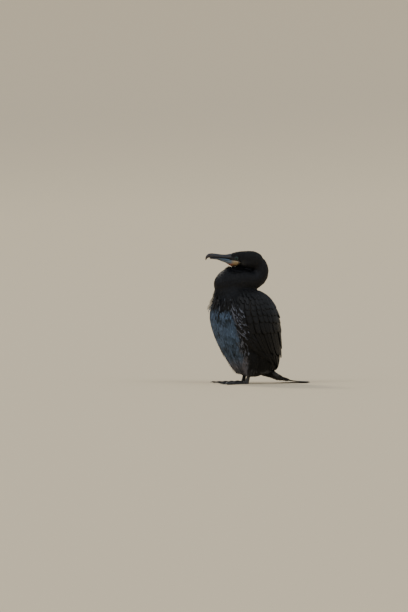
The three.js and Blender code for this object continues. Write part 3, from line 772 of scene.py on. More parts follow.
class CormorantSkin(bpy.types.Operator):
    """One skin over the head, neck, body and thighs, with the plumage's markings and lie"""

    bl_idname = "cormorant.skin"
    bl_label = "Skin"

    def execute(self, context):
        names = ["torso", "neck_lower", "neck_upper", "head", "thigh_left", "thigh_right"]
        parts = [node_copy(name) for name in names]
        for part in parts:
            applied(part, "DISPLACE", strength=0.00035, mid_level=0.0)
        rings = []
        for y in np.linspace(56, 137, 12):
            z, half, above, below = through(TAIL_ROOT, y)
            rings.append(in_row(egg_ring(24, y, z, half, above, below)))
        parts.append(loft("tail_root", rings))
        skin = fused("skin", parts)
        applied(skin, "REMESH", mode="VOXEL", voxel_size=sizes().skin_voxel)
        applied(skin, "SMOOTH", factor=0.5, iterations=7)
        applied(skin, "DISPLACE", strength=-sizes().coat_depth, mid_level=0.0)
        mesh = skin.data
        points = vertex_places(mesh)
        normals = numbers(mesh.vertices, "normal").astype(float)
        region = self.regions(points)
        lie = self.settle(mesh, first_lie(points, region), normals)
        colour, _ = markings(points, region, np.zeros(len(points)))
        write_attribute(mesh, "tint", "FLOAT_COLOR", with_alpha(colour))
        mesh.calc_loop_triangles()
        triangles = numbers(mesh.loop_triangles, "vertices", kind=np.int32)
        surface = BVHTree.FromPolygons([Vector(p) for p in points], triangles.tolist())
        shared.update(points=points, normals=normals, region=region, lie=lie)
        shared.update(triangles=triangles, surface=surface)
        mesh.shade_smooth()
        finished(skin, skin_look(), "dark_feather", *names)
        return {"FINISHED"}

    def regions(self, points):
        """Which part of the bird each point belongs to, by the nearest CAD node."""
        region = np.full(len(points), TORSO_PART)
        candidates = {
            HEAD: ["head", "throat_pouch", "bill_upper"],
            NECK: ["neck_upper", "neck_lower"],
            TORSO_PART: ["torso"],
            THIGH: ["thigh_left", "thigh_right"],
        }
        trees = []
        for part, names in candidates.items():
            for name in names:
                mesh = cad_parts[name].data
                corners = [Vector(from_row(vertex.co)) for vertex in mesh.vertices]
                faces = [tuple(face.vertices) for face in mesh.polygons]
                trees.append((part, BVHTree.FromPolygons(corners, faces)))
        high = points[:, 2] > 230
        for i in range(len(points)):
            best = 1e9
            for part, tree in trees:
                if part in ((THIGH,) if high[i] else (HEAD, NECK)):
                    continue
                found = tree.find_nearest(points[i], best)
                if found[0] is not None and found[3] < best:
                    best, region[i] = found[3], part
        tail = through(TAIL_ROOT, points[:, 1])
        behind = (points[:, 1] > 74) & (points[:, 2] < tail[:, 0] + tail[:, 2] + 3) & (region == TORSO_PART)
        region[behind] = RUMP
        return region

    def settle(self, mesh, lie, normals):
        """Smooths the lie over the skin and presses it onto the surface."""
        first, second = numbers(mesh.edges, "vertices", 2, np.int32).T
        for _ in range(24):
            total = lie.copy()
            np.add.at(total, first, lie[second])
            np.add.at(total, second, lie[first])
            lie = unit(total - normals * (total * normals).sum(1, keepdims=True))
        return lie


def scatter(mask, spacing, seed):
    """Evenly spread places on the skin: each one's triangle, its weights on the corners, and its point."""
    points, triangles = shared["points"], shared["triangles"]
    draw = np.random.default_rng(seed)
    wanted = mask[triangles].mean(1) > 0.5
    triangles = triangles[wanted]
    corners = points[triangles]
    area = np.linalg.norm(np.cross(corners[:, 1] - corners[:, 0], corners[:, 2] - corners[:, 0]), axis=1) / 2
    gap = spacing[triangles].mean(1)
    density = area / gap ** 2
    tries = int(density.sum() * 5)
    chosen = draw.choice(len(triangles), tries, p=density / density.sum())
    weight = draw.random((tries, 2))
    over = weight.sum(1) > 1
    weight[over] = 1 - weight[over]
    weight = np.concatenate([1 - weight.sum(1, keepdims=True), weight], 1)
    places = (corners[chosen] * weight[..., None]).sum(1)
    gaps = gap[chosen]
    tree = KDTree(tries)
    for i, place in enumerate(places):
        tree.insert(place, i)
    tree.balance()
    free = np.ones(tries, bool)
    kept = []
    for i in range(tries):
        if not free[i]:
            continue
        kept.append(i)
        for _, j, _ in tree.find_range(places[i], gaps[i]):
            free[j] = False
    kept = np.array(kept)
    return triangles[chosen[kept]], weight[kept], places[kept]


def grown(name, mask, spacing, length, width, lift, seed, spans, loose):
    """Small feathers over part of the skin, each following the surface along the plumage's lie."""
    scale = sizes().feather_scale
    spacing, length, width, lift = (np.broadcast_to(size, len(mask)) for size in (
        spacing * scale, length * scale, width * scale, lift))
    triangles, weight, roots = scatter(mask, spacing, seed)
    draw = np.random.default_rng(seed + 1)
    count = len(roots)

    def read(values):
        picked = values[triangles]
        shape = weight if picked.ndim == 2 else weight[..., None]
        return (picked * shape).sum(1)

    normal = unit(read(shared["normals"]))
    heading = unit(read(shared["lie"]) + draw.normal(0, loose, (count, 3)))
    long = read(length) * draw.uniform(0.86, 1.16, count)
    half = read(width) / 2 * draw.uniform(0.9, 1.12, count)
    stand = read(lift) * draw.uniform(0.6, 1.5, count)
    region = shared["region"][triangles[:, 0]]
    surface = shared["surface"]
    marks = np.array(FEATHER_MARKS[spans])
    spine = np.empty((count, spans + 1, 3))
    out = np.empty((count, spans + 1, 3))
    for i in range(count):
        place, up, way = Vector(roots[i]), Vector(normal[i]), Vector(heading[i])
        for k in range(spans + 1):
            spine[i, k] = place
            out[i, k] = up
            if k == spans:
                break
            way = (way - up * way.dot(up)).normalized()
            found, facing, _, _ = surface.find_nearest(place + way * long[i] * (marks[k + 1] - marks[k]))
            place, up = found, (up + facing).normalized()
    rise = -0.5 + (stand[:, None] + 0.5) * marks ** 0.8
    spine = spine + out * rise[..., None]
    outline = feather_outline(marks, draw.uniform(0.25, 0.6, count)[:, None])
    jitter = draw.normal(0, 0.55, count)
    tint, fringe = markings(roots, region, jitter)
    tint = tint * np.exp(draw.normal(0, 0.13, (count, 1)))
    return feather_mesh(
        name, in_row(spine), out, half[:, None] * outline * MM, PLAIN_SECTION, thickness=0.00035, cup=38.0,
        roll=draw.normal(0, 0.12, count), tint=tint, fringe=fringe, size=long * MM,
        home=skin_place(roots, region))


def feather_look(name, gloss=0.0, roughness=0.62, pale_edge=(2.2, 2.1, 2.0)):
    """Feathers with a shaft, fine barbs and a dark or pale fringe, coloured feather by feather; dark fringes
    have a painted highlight along their very edge.
    """
    look = Look(name)
    tint = look.attribute("tint", "Color")
    fringe = look.attribute("fringe")
    size = look.attribute("size")
    vane = look.node("ShaderNodeUVMap", "UV", {"uv_map": "vane"})
    along = look.axis("Y", vane)
    edge = look.maths("ABSOLUTE", look.axis("X", vane) * 2.0 - 1.0)
    barb = (along * size * 1000.0 - edge * size * 260.0) * 6.0
    barbs = look.maths("SINE", barb) * 0.5 + 0.5
    tear = look.noise(900, 2)
    at_side = look.step(edge + tear * 0.12, 0.74, 0.92)
    border = look.maths("MAXIMUM", at_side, look.step(along + tear * 0.04, 0.86, 0.94))
    # rim: a painted highlight, a thin paler line along the very edge of dark-fringed feathers
    rim = look.step(edge + tear * 0.10, 0.93, 0.99) * 0.35
    dark = look.maths("MULTIPLY", border, fringe * -1.0, clamp=True)
    pale = look.maths("MULTIPLY", border, fringe, clamp=True)
    base = look.blend((1.0 - look.step(along, 0.0, 0.45)) * 0.5, tint, (0.0055, 0.0055, 0.0060))
    base = look.blend(barbs * 0.3, base, look.blend(1.0, base, (0.45, 0.45, 0.47), "MULTIPLY"))
    base = look.blend(dark, base, (0.0022, 0.0022, 0.0025))
    # Painted highlight along the outer edge of dark fringes
    base = look.blend(dark * rim, base, (0.042, 0.041, 0.040))
    base = look.blend(pale * 0.5, base, look.blend(1.0, base, pale_edge, "MULTIPLY"))
    shaft = 1.0 - look.step(edge, 0.03, 0.10)
    base = look.blend(shaft * 0.35, base, (0.02, 0.018, 0.016))
    look.set(Base_Color=base, Roughness=look.noise(400, 2) * 0.18 + (roughness - 0.09))
    look.set(Specular_IOR_Level=0.16, Coat_Weight=gloss, Coat_Roughness=0.38)
    return look.bump(barbs * 0.5 + shaft * 1.2 + tear * 0.3, 0.35, 0.0002)


def bare_face(points, blur=0.01):
    """1 on the bare skin before and round the eye, falling to 0 over a width in millimetres."""
    own = head_turned(points, back=True)
    side = np.abs(own[:, 0])
    away = np.linalg.norm(np.stack([own[:, 1] - EYE[1], own[:, 2] - EYE[2]], -1), axis=1)
    eye = np.where(side > 6, 6.6 - away, -9)
    crown = 382.0 - 0.30 * (own[:, 1] + 62)
    lores = np.minimum.reduce([-45.5 - own[:, 1], crown - own[:, 2], own[:, 2] - 365])
    under = np.minimum.reduce([-37 - own[:, 1], 371.5 - own[:, 2], own[:, 2] - 366])
    front = HEAD_FRONT + 1.2 - own[:, 1]
    inside = np.maximum.reduce([eye, lores, under, front])
    return smooth(-blur, blur, inside)


class CormorantCoat(bpy.types.Operator):
    """The small feathers of the head, neck, body, thighs and rump"""

    bl_idname = "cormorant.coat"
    bl_label = "Small feathers"

    def execute(self, context):
        points, region = shared["points"], shared["region"]
        angle = np.degrees(torso_angle(points))
        y, z = points[:, 1:].T
        small = feather_look("small_feathers")
        sleek = feather_look("sleek_feathers", gloss=0.02, roughness=0.5)
        down = (WING_TOP - z) / (WING_TOP - WING_TIP)
        front, rear = through(WING_EDGES, down).T
        under_wing = (angle > front + 9) & (angle < rear - 3) & (down > 0.04) & (down < 0.96)
        torso = (region == TORSO_PART) & ~under_wing
        mantle = ((angle > 118) & (z > 60)) | ((z > 262) & (y > -18))
        belly = torso & ~mantle
        ruffled = (angle < 40) & (z > 238) & (z < 292) & (region != HEAD) & (y < -40)
        plumed = belly & (angle < 34) & (z > 36) & (z < 116)
        bare = bare_face(points) >= 0.5
        back = smooth(-60, 0, head_turned(points, back=True)[:, 1])
        throat = smooth(330, 341, z) * smooth(16, 2, y) * smooth(-55, -46, y)
        wide = smooth(40, 80, angle)
        high = smooth(250, 200, z)
        # Each kind's skin, spacing, length, width, stand-off at the tips, seed, spans, looseness, look, slot
        for name, mask, spacing, length, width, lift, seed, spans, loose, look, slot in (
            ("head_feathers", (region == HEAD) & ~bare, mix(1.35, 2.2, back), mix(4.2, 8.5, back),
             mix(1.6, 2.9, back), mix(0.3, 0.5, back), 11, 3, 0.12, sleek, "dark_feather"),
            ("neck_feathers", region == NECK, 2.35, 10.5, 3.4,
             0.6 + 4.8 * throat, 21, 4, 0.12, sleek, "dark_feather"),
            ("belly_feathers", belly, mix(2.75, 3.15, high), mix(14, 18, high) * mix(1, 1.2, wide),
             mix(3.3, 4.0, high), mix(0.6, 0.9, high), 31, 5, 0.16, small, "pale_feather"),
            ("back_feathers", torso & mantle, 7.2, 24, 13, 1.2, 41, 4, 0.12, sleek, "dark_feather"),
            ("thigh_feathers", region == THIGH, 2.8, 13, 3.8, 0.8, 51, 4, 0.12, small, "pale_feather"),
            ("breast_tuft", ruffled, 6.0, 27, 3.6,
             3.0 + 5.5 * smooth(292, 270, z) * smooth(40, 12, angle), 71, 5, 0.22, small, "dark_feather"),
            ("belly_plumes", plumed, 8.0, 24, 4.0, 3.4, 81, 5, 0.22, small, "pale_feather"),
            ("rump_feathers", region == RUMP, 5.0, 28, 9,
             1.0 + 2.2 * smooth(100, 78, y), 61, 5, 0.12, sleek, "dark_feather"),
        ):
            finished(grown(name, mask, spacing, length, width, lift, seed, spans, loose), look, slot)
        return {"FINISHED"}


# Rows of wing feathers, lowest layer first: how many, root and tip from the front feather to the back one as
# angles round the body and heights, width, the tips' stand-off at the front and the back, how late they rise,
# tip sharpness, tilt, fringe
WING_ROWS = [
    ("primary", 7, (84, 140, 142, 148), (120, 70, 172, 33), 19, (3, 6.5), 2.0, 0.65, 9, -0.2),
    ("secondary", 12, (73, 170, 152, 186), (88, 100, 166, 76), 20, (4.2, 7.5), 1.3, 0.4, 6, -0.5),
    ("tertial", 6, (140, 208, 176, 212), (148, 112, 181, 88), 21, (6.2, 7.6), 1.0, 0.55, 7, -1.0),
    ("greater_covert", 13, (68, 206, 166, 209), (70, 152, 167, 154), 19, (3.6, 5), 1.0, 0.35, 6, -1.0),
    ("median_covert", 13, (67, 226, 168, 230), (67, 181, 169, 183), 18, (3.4, 4.4), 1.0, 0.35, 6, -1.0),
    ("lesser_covert", 13, (67, 241, 168, 245), (66, 204, 169, 206), 17, (3.0, 3.8), 1.0, 0.3, 6, -1.0),
    ("lesser_covert", 13, (69, 254, 166, 258), (67, 222, 167, 224), 15.5, (2.6, 3.3), 1.0, 0.3, 6, -1.0),
    ("lesser_covert", 13, (74, 265, 162, 268), (70, 238, 164, 240), 14, (2.3, 2.9), 1.0, 0.3, 6, -1.0),
    ("lesser_covert", 11, (80, 272, 152, 275), (75, 251, 156, 253), 12.5, (2.0, 2.6), 1.0, 0.3, 6, -1.0),
    ("lesser_covert", 10, (88, 277, 142, 279), (82, 262, 146, 263), 11, (1.8, 2.4), 1.0, 0.3, 6, -1.0),
    ("scapular", 7, (146, 258, 178, 256), (152, 200, 181, 194), 20, (6, 7.4), 0.8, 0.35, 6, 0.8),
    ("scapular", 7, (138, 270, 176, 268), (146, 228, 179, 224), 18.5, (5.6, 6.8), 0.8, 0.3, 6, 0.8),
    ("scapular", 7, (126, 279, 172, 278), (138, 247, 176, 244), 17, (4.8, 6), 0.8, 0.3, 6, 0.7),
]
FLIGHT_FEATHERS = ("primary", "secondary", "tertial")
MARGINAL_FEATHERS = 27
FLANK_FEATHERS = 190


def wing_front(z):
    """The angle of the folded wing's front edge at a height."""
    return float(through(WING_EDGES, (WING_TOP - z) / (WING_TOP - WING_TIP))[0])


class CormorantWings(bpy.types.Operator):
    """Both folded wings: a thin shell on the body with its flight feathers and coverts in rows"""

    bl_idname = "cormorant.wings"
    bl_label = "Wings"

    def execute(self, context):
        look = feather_look("wing_feathers", gloss=0.05, roughness=0.45, pale_edge=(4.2, 4.2, 4.8))
        under = self.shell_look()
        for side, name in SIDES:
            feathers = feather_mesh("wing_feathers_" + name, *self.placed(self.rows(name), side))
            finished(feathers, look, "wing_feather", "wing_" + name)
            finished(self.shell(side, name), under, "wing_feather", "wing_" + name)
        return {"FINISHED"}

    def shell_look(self):
        look = Look("wing_under_feathers")
        grain = look.noise(500, 4)
        look.set(Base_Color=look.blend(grain, (0.008, 0.008, 0.008), (0.02, 0.018, 0.017)), Roughness=0.7)
        return look.bump(grain, 0.5, 0.0004)

    def shell(self, side, name):
        rings = []
        around, sunk = 26, -3.0
        for down in (1 - np.cos(math.pi * np.linspace(0.06, 0.955, 34))) / 2:
            height = np.full(around, mix(WING_TOP, WING_TIP, down))
            angles = np.radians(np.linspace(*through(WING_EDGES, down), around))
            lift = wing_height(angles, height) - 1.8
            lift[[0, 1, -1]] = (-1.5, 0.5, -1.0)
            outer = torso_at(angles, height, lift)[0]
            inner = torso_at(angles[::-1], height, np.full(around, sunk))[0]
            ring = np.concatenate([outer, inner])
            ring[:, 0] *= side
            rings.append(in_row(ring))
        return shaded(loft("wing_shell_" + name, rings))

    def rows(self, name):
        """Every feather of a wing with natural variety, as the columns that placed() reads."""
        draw = np.random.default_rng(7 if name == "left" else 8)
        found = []
        counts = {"primary": sizes().primaries, "secondary": sizes().secondaries}
        for kind, count, root, tip, width, stand, rise, point, tilt, fringe in WING_ROWS:
            count = counts.get(kind, count)
            for i in range(count):
                v = i / (count - 1)
                slip = draw.normal(0, 1, 4) * (0.35, 1.3, 0.5, 1.8)
                found.append((
                    mix(root[0], root[2], v) + slip[0],
                    mix(root[1], root[3], v) + slip[1],
                    mix(tip[0], tip[2], v) + slip[2],
                    mix(tip[1], tip[3], v) + slip[3],
                    width * draw.uniform(0.94, 1.07),
                    mix(stand[0], stand[1], v) + draw.normal(0, 0.15),
                    rise, point + draw.normal(0, 0.05), tilt + draw.normal(0, 1.0), fringe,
                    kind in FLIGHT_FEATHERS, False, 1.6,
                ))
        for i in range(MARGINAL_FEATHERS):
            v = i / (MARGINAL_FEATHERS - 1)
            top = mix(270, 80, v)
            low = top - mix(19, 27, v)
            found.append((wing_front(top) + 2.2, top, wing_front(low) + draw.uniform(1.5, 3.5), low,
                          10.5, 1.6, 1.0, 0.3, -4, -0.8, False, False, 2.6))
        for i in range(FLANK_FEATHERS):
            v = i / (FLANK_FEATHERS - 1)
            top = mix(264, 86, v) + draw.normal(0, 2)
            low = top - mix(20, 28, v) + draw.normal(0, 2)
            back = draw.uniform(0, 1) ** 1.3 * mix(8, 17, smooth(262, 225, top)) * smooth(80, 120, top)
            sunk = mix(6.5, 2.5, smooth(6, 11, back))
            found.append((wing_front(top) - 10 + back, top, wing_front(low) - 3 + back, low,
                          draw.uniform(2.9, 4.3), 4.6, 1.0, 0.7, -5, 0.3, False, True, sunk))
        return np.array(found, float)

    def placed(self, rows, side):
        """The arguments of feather_mesh for a wing's feathers."""
        draw = np.random.default_rng(17 + side)
        root_angle, root_z, tip_angle, tip_z, width, stand, rise, point, tilt, fringe = rows.T[:10]
        flight, flank, sunk = rows.T[10:]
        count = len(rows)
        u = np.array([0, 0.12, 0.26, 0.4, 0.54, 0.67, 0.78, 0.87, 0.93, 0.97, 1.0])
        angle = np.radians(root_angle[:, None] + (tip_angle - root_angle)[:, None] * u)
        z = root_z[:, None] + (tip_z - root_z)[:, None] * u
        sunk = sunk[:, None]
        lift = wing_height(angle, z) - sunk + (stand[:, None] + sunk) * u ** rise[:, None]
        spine, out = torso_at(angle, z, lift)
        outline = feather_outline(u, np.clip(point, 0, 1)[:, None])
        half = width[:, None] / 2 * (outline * (1 + draw.normal(0, 0.02, outline.shape))) * MM
        spine[..., 0] *= side
        out[..., 0] *= side
        roll = np.radians(-tilt) * side
        length = np.linalg.norm(spine[:, -1] - spine[:, 0], axis=1)
        tint = hue("wing") * np.exp(draw.normal(0, 0.14, (count, 1)))
        tint = mix(tint, tint * 0.55, flight[:, None])
        streaks_end = through(BELLY_BORDER, tip_z)[:, 1]
        near_belly = smooth(7, -9, sideways_place(spine[:, -1]) - streaks_end)
        streaked = draw.random(count) < flank * 0.6 * near_belly * smooth(256, 236, root_z)
        pale = hue("streak") * draw.uniform(0.25, 1.0, (count, 1))
        tint = np.where(flank[:, None] > 0, np.where(streaked[:, None], pale, hue("flank")), tint)
        across = math.ceil(math.sqrt(count))
        return (in_row(spine), out, half, FINE_SECTION, 0.0006, 5.0, roll, tint, fringe, length * MM,
                patches(count, across), 0.9 / across)


# The mantle's rows by height, the angle between its feathers, their length low and high, their half width
MANTLE_ROWS = np.arange(112, 287, 12.5)
MANTLE_STEP = 9.5
MANTLE_LENGTHS = (52, 33)
MANTLE_HALF = 10.5


class CormorantMantle(bpy.types.Operator):
    """The broad feathers down the middle of the back, lying over where the wings meet"""

    bl_idname = "cormorant.mantle"
    bl_label = "Mantle"

    def execute(self, context):
        draw = np.random.default_rng(29)
        u = np.array([0, 0.2, 0.4, 0.6, 0.76, 0.88, 0.96, 1.0])
        found = []
        for row, top in enumerate(MANTLE_ROWS):
            wide = 2 if top > 180 else 1
            for column in range(-wide, wide + 1):
                shift = (column + 0.5 * (row % 2) - 0.25) * MANTLE_STEP
                long = mix(*MANTLE_LENGTHS, smooth(150, 215, top))
                found.append((180 + shift + draw.normal(0, 0.5), top + draw.normal(0, 1.0),
                              180 + shift * 0.8 + draw.normal(0, 0.7), top - long + draw.normal(0, 1.5)))
        root_angle, root_z, tip_angle, tip_z = np.array(found).T[..., None]
        count = len(found)
        angle = np.radians(root_angle + (tip_angle - root_angle) * u)
        z = root_z + (tip_z - root_z) * u
        high = smooth(276, 235, root_z)
        lift = mix(-1.5, 5.8, high) + mix(3.6, 4.4, high) * u + draw.normal(0, 0.2, (count, 1))
        spine, out = torso_at(angle, z, lift)
        outline = feather_outline(u, 0.3 + draw.normal(0, 0.05, (count, 1)))
        low = smooth(225, 170, root_z)
        tint = mix(hue("mantle"), hue("wing"), low) * np.exp(draw.normal(0, 0.12, (count, 1)))
        length = np.linalg.norm(spine[:, -1] - spine[:, 0], axis=1)
        mantle = feather_mesh(
            "mantle_feathers", in_row(spine), out, MANTLE_HALF * outline * MM, FINE_SECTION, 0.0005, 5.0,
            draw.normal(0, 0.07, count), tint, -1.0, length * MM, patches(count, 10), 0.09)
        finished(mantle, feather_look("mantle_feathers", gloss=0.06, roughness=0.47), "dark_feather")
        return {"FINISHED"}


class CormorantTail(bpy.types.Operator):
    """The tail feathers, laid back along the ground"""

    bl_idname = "cormorant.tail"
    bl_label = "Tail"

    def execute(self, context):
        count = sizes().tail_feathers
        place = np.arange(count) - (count - 1) / 2
        draw = np.random.default_rng(5)
        u = np.array([0, 0.14, 0.28, 0.42, 0.55, 0.67, 0.78, 0.87, 0.93, 0.975, 1.0])
        reach = TAIL_REACH - 4.2 * np.abs(place) + draw.normal(0, 1.0, count)
        y = TAIL_START + (reach - TAIL_START)[:, None] * u
        topmost = place == -0.5
        x = place[:, None] * mix(*TAIL_SPREAD, u) + draw.normal(0, 0.25, (count, 1))
        z = through(TAIL_LINE, y)[..., 0] + np.where(topmost, 1.2, 0)[:, None]
        spine = np.stack([x, y, z], -1)
        out = np.broadcast_to([0.0, 0.0, 1.0], spine.shape)
        outline = feather_outline(u, 0.2 + draw.normal(0, 0.05, (count, 1)))
        half = TAIL_FEATHER_HALF * outline * (1 + draw.normal(0, 0.015, outline.shape)) * MM
        roll = np.where(topmost, 0, np.sign(place) * TAIL_TILT)
        tint = np.array([[0.012, 0.012, 0.013]]) * np.exp(draw.normal(0, 0.12, (count, 1)))
        home = np.stack([(np.arange(count) + 0.5) / count, np.full(count, 0.5)], -1)
        tail = feather_mesh("tail_feathers", in_row(spine), out, half, FINE_SECTION, 0.0007, 3.5,
                            roll, tint, -0.2, (reach - TAIL_START) * MM, home, 0.06)
        points = numbers(tail.data.vertices, "co")
        points[:, 2] = np.maximum(points[:, 2], LOWEST * MM)
        tail.data.vertices.foreach_set("co", points.reshape(-1))
        finished(tail, feather_look("tail_feathers", gloss=0.05, roughness=0.5), "dark_feather", "tail")
        return {"FINISHED"}


class CormorantFace(bpy.types.Operator):
    """The bare skin before and round the eyes"""

    bl_idname = "cormorant.face"
    bl_label = "Face"

    def execute(self, context):
        face = node_copy("head")
        applied(face, "REMESH", mode="VOXEL", voxel_size=0.0007)
        fused("face_skin", [face])
        cut = Vector(in_row(head_turned([0, FACE_BACK, 370])))
        facing = Vector(head_turned([0, 1, 0]) - HEAD_PIVOT)
        edited(face, bpy.ops.mesh.bisect, plane_co=cut, plane_no=facing, use_fill=True, clear_outer=True)
        applied(face, "SMOOTH", factor=0.5, iterations=4)
        points = vertex_places(face.data)
        bare = bare_face(points, 1.6)
        sunk = face.vertex_groups.new(name="feathered")
        for i in np.flatnonzero(bare < 1):
            sunk.add([int(i)], float(1 - bare[i]), "REPLACE")
        applied(face, "DISPLACE", strength=-0.0022, mid_level=0.0, vertex_group="feathered")
        write_attribute(face.data, "bare", "FLOAT", bare)
        face.data.shade_smooth()
        look = Look("face_skin")
        grain = look.cells(1300)
        cloud = look.noise(220, 3)
        skin = look.blend(look.step(cloud, 0.42, 0.62), (0.022, 0.024, 0.025), (0.048, 0.044, 0.034))
        skin = look.blend((1.0 - look.step(grain, 0.05, 0.45)) * 0.6, (0.008, 0.008, 0.008), skin)
        skin = look.blend(look.attribute("bare"), (0.007, 0.007, 0.0075), skin)
        look.set(Base_Color=skin, Roughness=0.55, Specular_IOR_Level=0.3)
        finished(face, look.bump((1.0 - grain) + cloud * 0.3, 0.6, 0.0003), "throat_skin")
        return {"FINISHED"}


def bill_rings(table, stations, sides, ridge, power):
    """Bill sections with a ridge along the top and a shallow groove on each side."""
    off_groove = np.abs(full_turn(sides) - math.pi) - 0.66 * math.pi
    groove = 1 - ridge * np.exp(-(off_groove / 0.13) ** 2)
    rings = []
    for y in stations:
        top, wide, bottom, half = through(table, y)
        ring = egg_ring(sides, y, wide, half, top - wide, wide - bottom, power, 0.9)
        ring[:, 0] *= groove
        rings.append(in_row(head_turned(ring)))
    return rings


def line_rings(table, count, sides):
    """Rings across a bent line in the head's middle plane."""
    keys = np.linspace(0, 1, len(table))
    stations = through(np.column_stack([keys, table]), np.linspace(0, 1, count))
    ahead = unit(np.gradient(stations[:, :2], axis=0))
    turn = full_turn(sides)
    rings = []
    for (y, z, half, thick), (ay, az) in zip(stations, ahead):
        up = np.array([0, az, -ay])
        ring = np.array([0, y, z]) + np.outer(thick * np.cos(turn), up)
        ring[:, 0] = half * np.sin(turn)
        rings.append(in_row(head_turned(ring)))
    return rings


def horn_look(name, base, dark, tip, tip_from, tip_to):
    """Horn with fine lengthways grain, darker along the ridge and towards the hook, between two places."""
    look = Look(name)
    place = look.place()
    height = look.axis("Z", place)
    back = look.axis("Y", place)
    grain = look.node("ShaderNodeTexNoise", "Fac", {}, Vector=look.node(
        "ShaderNodeMapping", "Vector", {}, Vector=place, Scale=(1.0, 0.12, 1.0)), Scale=900.0, Detail=4.0)
    blotch = look.noise(160, 3)
    tone = look.blend(look.step(grain, 0.35, 0.7) * 0.6, base, dark)
    tone = look.blend(look.step(height, 0.3855, 0.3905) * 0.7, tone, dark)
    tone = look.blend((1.0 - look.step(back + blotch * 0.004, tip_from, tip_to)) * 0.85, tone, tip)
    tone = look.blend(look.step(back + blotch * 0.004, -0.096, -0.090) * 0.8, tone, (0.028, 0.030, 0.033))
    tone = look.blend(look.step(blotch, 0.55, 0.75) * 0.3, tone, dark)
    look.set(Base_Color=tone, Roughness=grain * 0.2 + 0.34, Coat_Weight=0.12, Coat_Roughness=0.25)
    return look.bump(grain + blotch * 0.4, 0.3, 0.0002)


class CormorantBill(bpy.types.Operator):
    """The bill: upper half with its ridge and hooked nail, lower half, and the mouth line between them"""

    bl_idname = "cormorant.bill"
    bl_label = "Bill"

    def execute(self, context):
        upper = loft("bill_upper_part", bill_rings(UPPER_BILL, np.linspace(-55, -124.5, 44), 56, 0.2, 0.8))
        hook = loft("bill_hook", line_rings(HOOK, 24, 28))
        upper = fused("bill_top", [upper, hook])
        applied(upper, "REMESH", mode="VOXEL", voxel_size=0.0004)
        applied(upper, "SMOOTH", factor=0.5, iterations=3)
        upper.data.shade_smooth()
        slate = horn_look("bill_horn", base=(0.024, 0.028, 0.042), dark=(0.0080, 0.0085, 0.0120),
                          tip=(0.030, 0.020, 0.022), tip_from=-0.160, tip_to=-0.135)
        finished(upper, slate, "horn", "bill_upper")
        raised = LOWER_BILL + [0, 0.4, 0, 0, 0]
        lower = loft("bill_base", bill_rings(raised, np.linspace(-55, -122.5, 34), 40, 0.05, 0.9), 1)
        lower.data.shade_smooth()
        pale = horn_look("bill_pale_horn", base=(0.064, 0.110, 0.166), dark=(0.025, 0.040, 0.060),
                         tip=(0.026, 0.027, 0.032), tip_from=-0.126, tip_to=-0.110)
        finished(lower, pale, "horn", "bill_lower")
        return {"FINISHED"}


class CormorantPouch(bpy.types.Operator):
    """The bare throat pouch, with fine folds"""

    bl_idname = "cormorant.pouch"
    bl_label = "Throat pouch"

    def execute(self, context):
        turn = full_turn(72)
        rings = []
        for y in np.linspace(-98, -31.5, 70):
            top, wide, bottom, half = through(POUCH, y)
            fold = 0.16 * np.sin(17 * turn + 0.05 * y) + 0.10 * np.sin(0.9 * y + 3 * turn)
            fold = fold * smooth(-98, -80, y) * smooth(-31, -38, y)
            ring = egg_ring(len(turn), y, wide, half, top - wide, wide - bottom, fold=fold)
            rings.append(in_row(head_turned(ring)))
        pouch = shaded(loft("pouch_skin", rings), 80)
        look = Look("pouch_skin")
        place = look.place()
        height = look.axis("Z", place)
        back = look.axis("Y", place)
        grain = look.cells(1500)
        cloud = look.noise(120, 3)
        skin = look.blend(look.step(cloud, 0.4, 0.65), tuple(hue("pouch")), (0.33, 0.240, 0.130))
        # Painted highlight: the pouch's upper part, above its widest level, is paler
        skin = look.blend(look.step(height, 0.3605, 0.3665) * 0.6, skin, (0.34, 0.270, 0.175))
        front = 1.0 - look.step(back + look.noise(300, 2) * 0.006, -0.090, -0.080)
        skin = look.blend(front * 0.9, skin, (0.068, 0.116, 0.168))
        rear = look.step(back + cloud * 0.004, -0.0735, -0.0680)
        skin = look.blend(rear * 0.92, skin, (0.022, 0.021, 0.018))
        edge = (1.0 - look.step(height + cloud * 0.002, 0.3535, 0.3580)) * look.step(back, -0.094, -0.086)
        skin = look.blend(edge * 0.8, skin, (0.030, 0.027, 0.022))
        spot = (1.0 - look.step(height, 0.357, 0.362)) * look.step(back, -0.106, -0.098)
        spot = spot * (1.0 - look.step(back, -0.09, -0.08))
        skin = look.blend(spot * 0.7, skin, (0.42, 0.115, 0.030))
        skin = look.blend((1.0 - look.step(grain, 0.0, 0.5)) * 0.35, skin, (0.15, 0.095, 0.04))
        look.set(Base_Color=skin, Roughness=0.5, Coat_Weight=0.15, Subsurface_Weight=0.08)
        finished(pouch, look.bump(grain, 0.5, 0.0003), "throat_skin", "throat_pouch")
        return {"FINISHED"}


# Each ring of beads on the lid: radius, distance out from the eye's middle, how many beads, and their radius
LID_RINGS = ((4.7, 4.75, 40, 0.42), (5.45, 4.45, 44, 0.45))


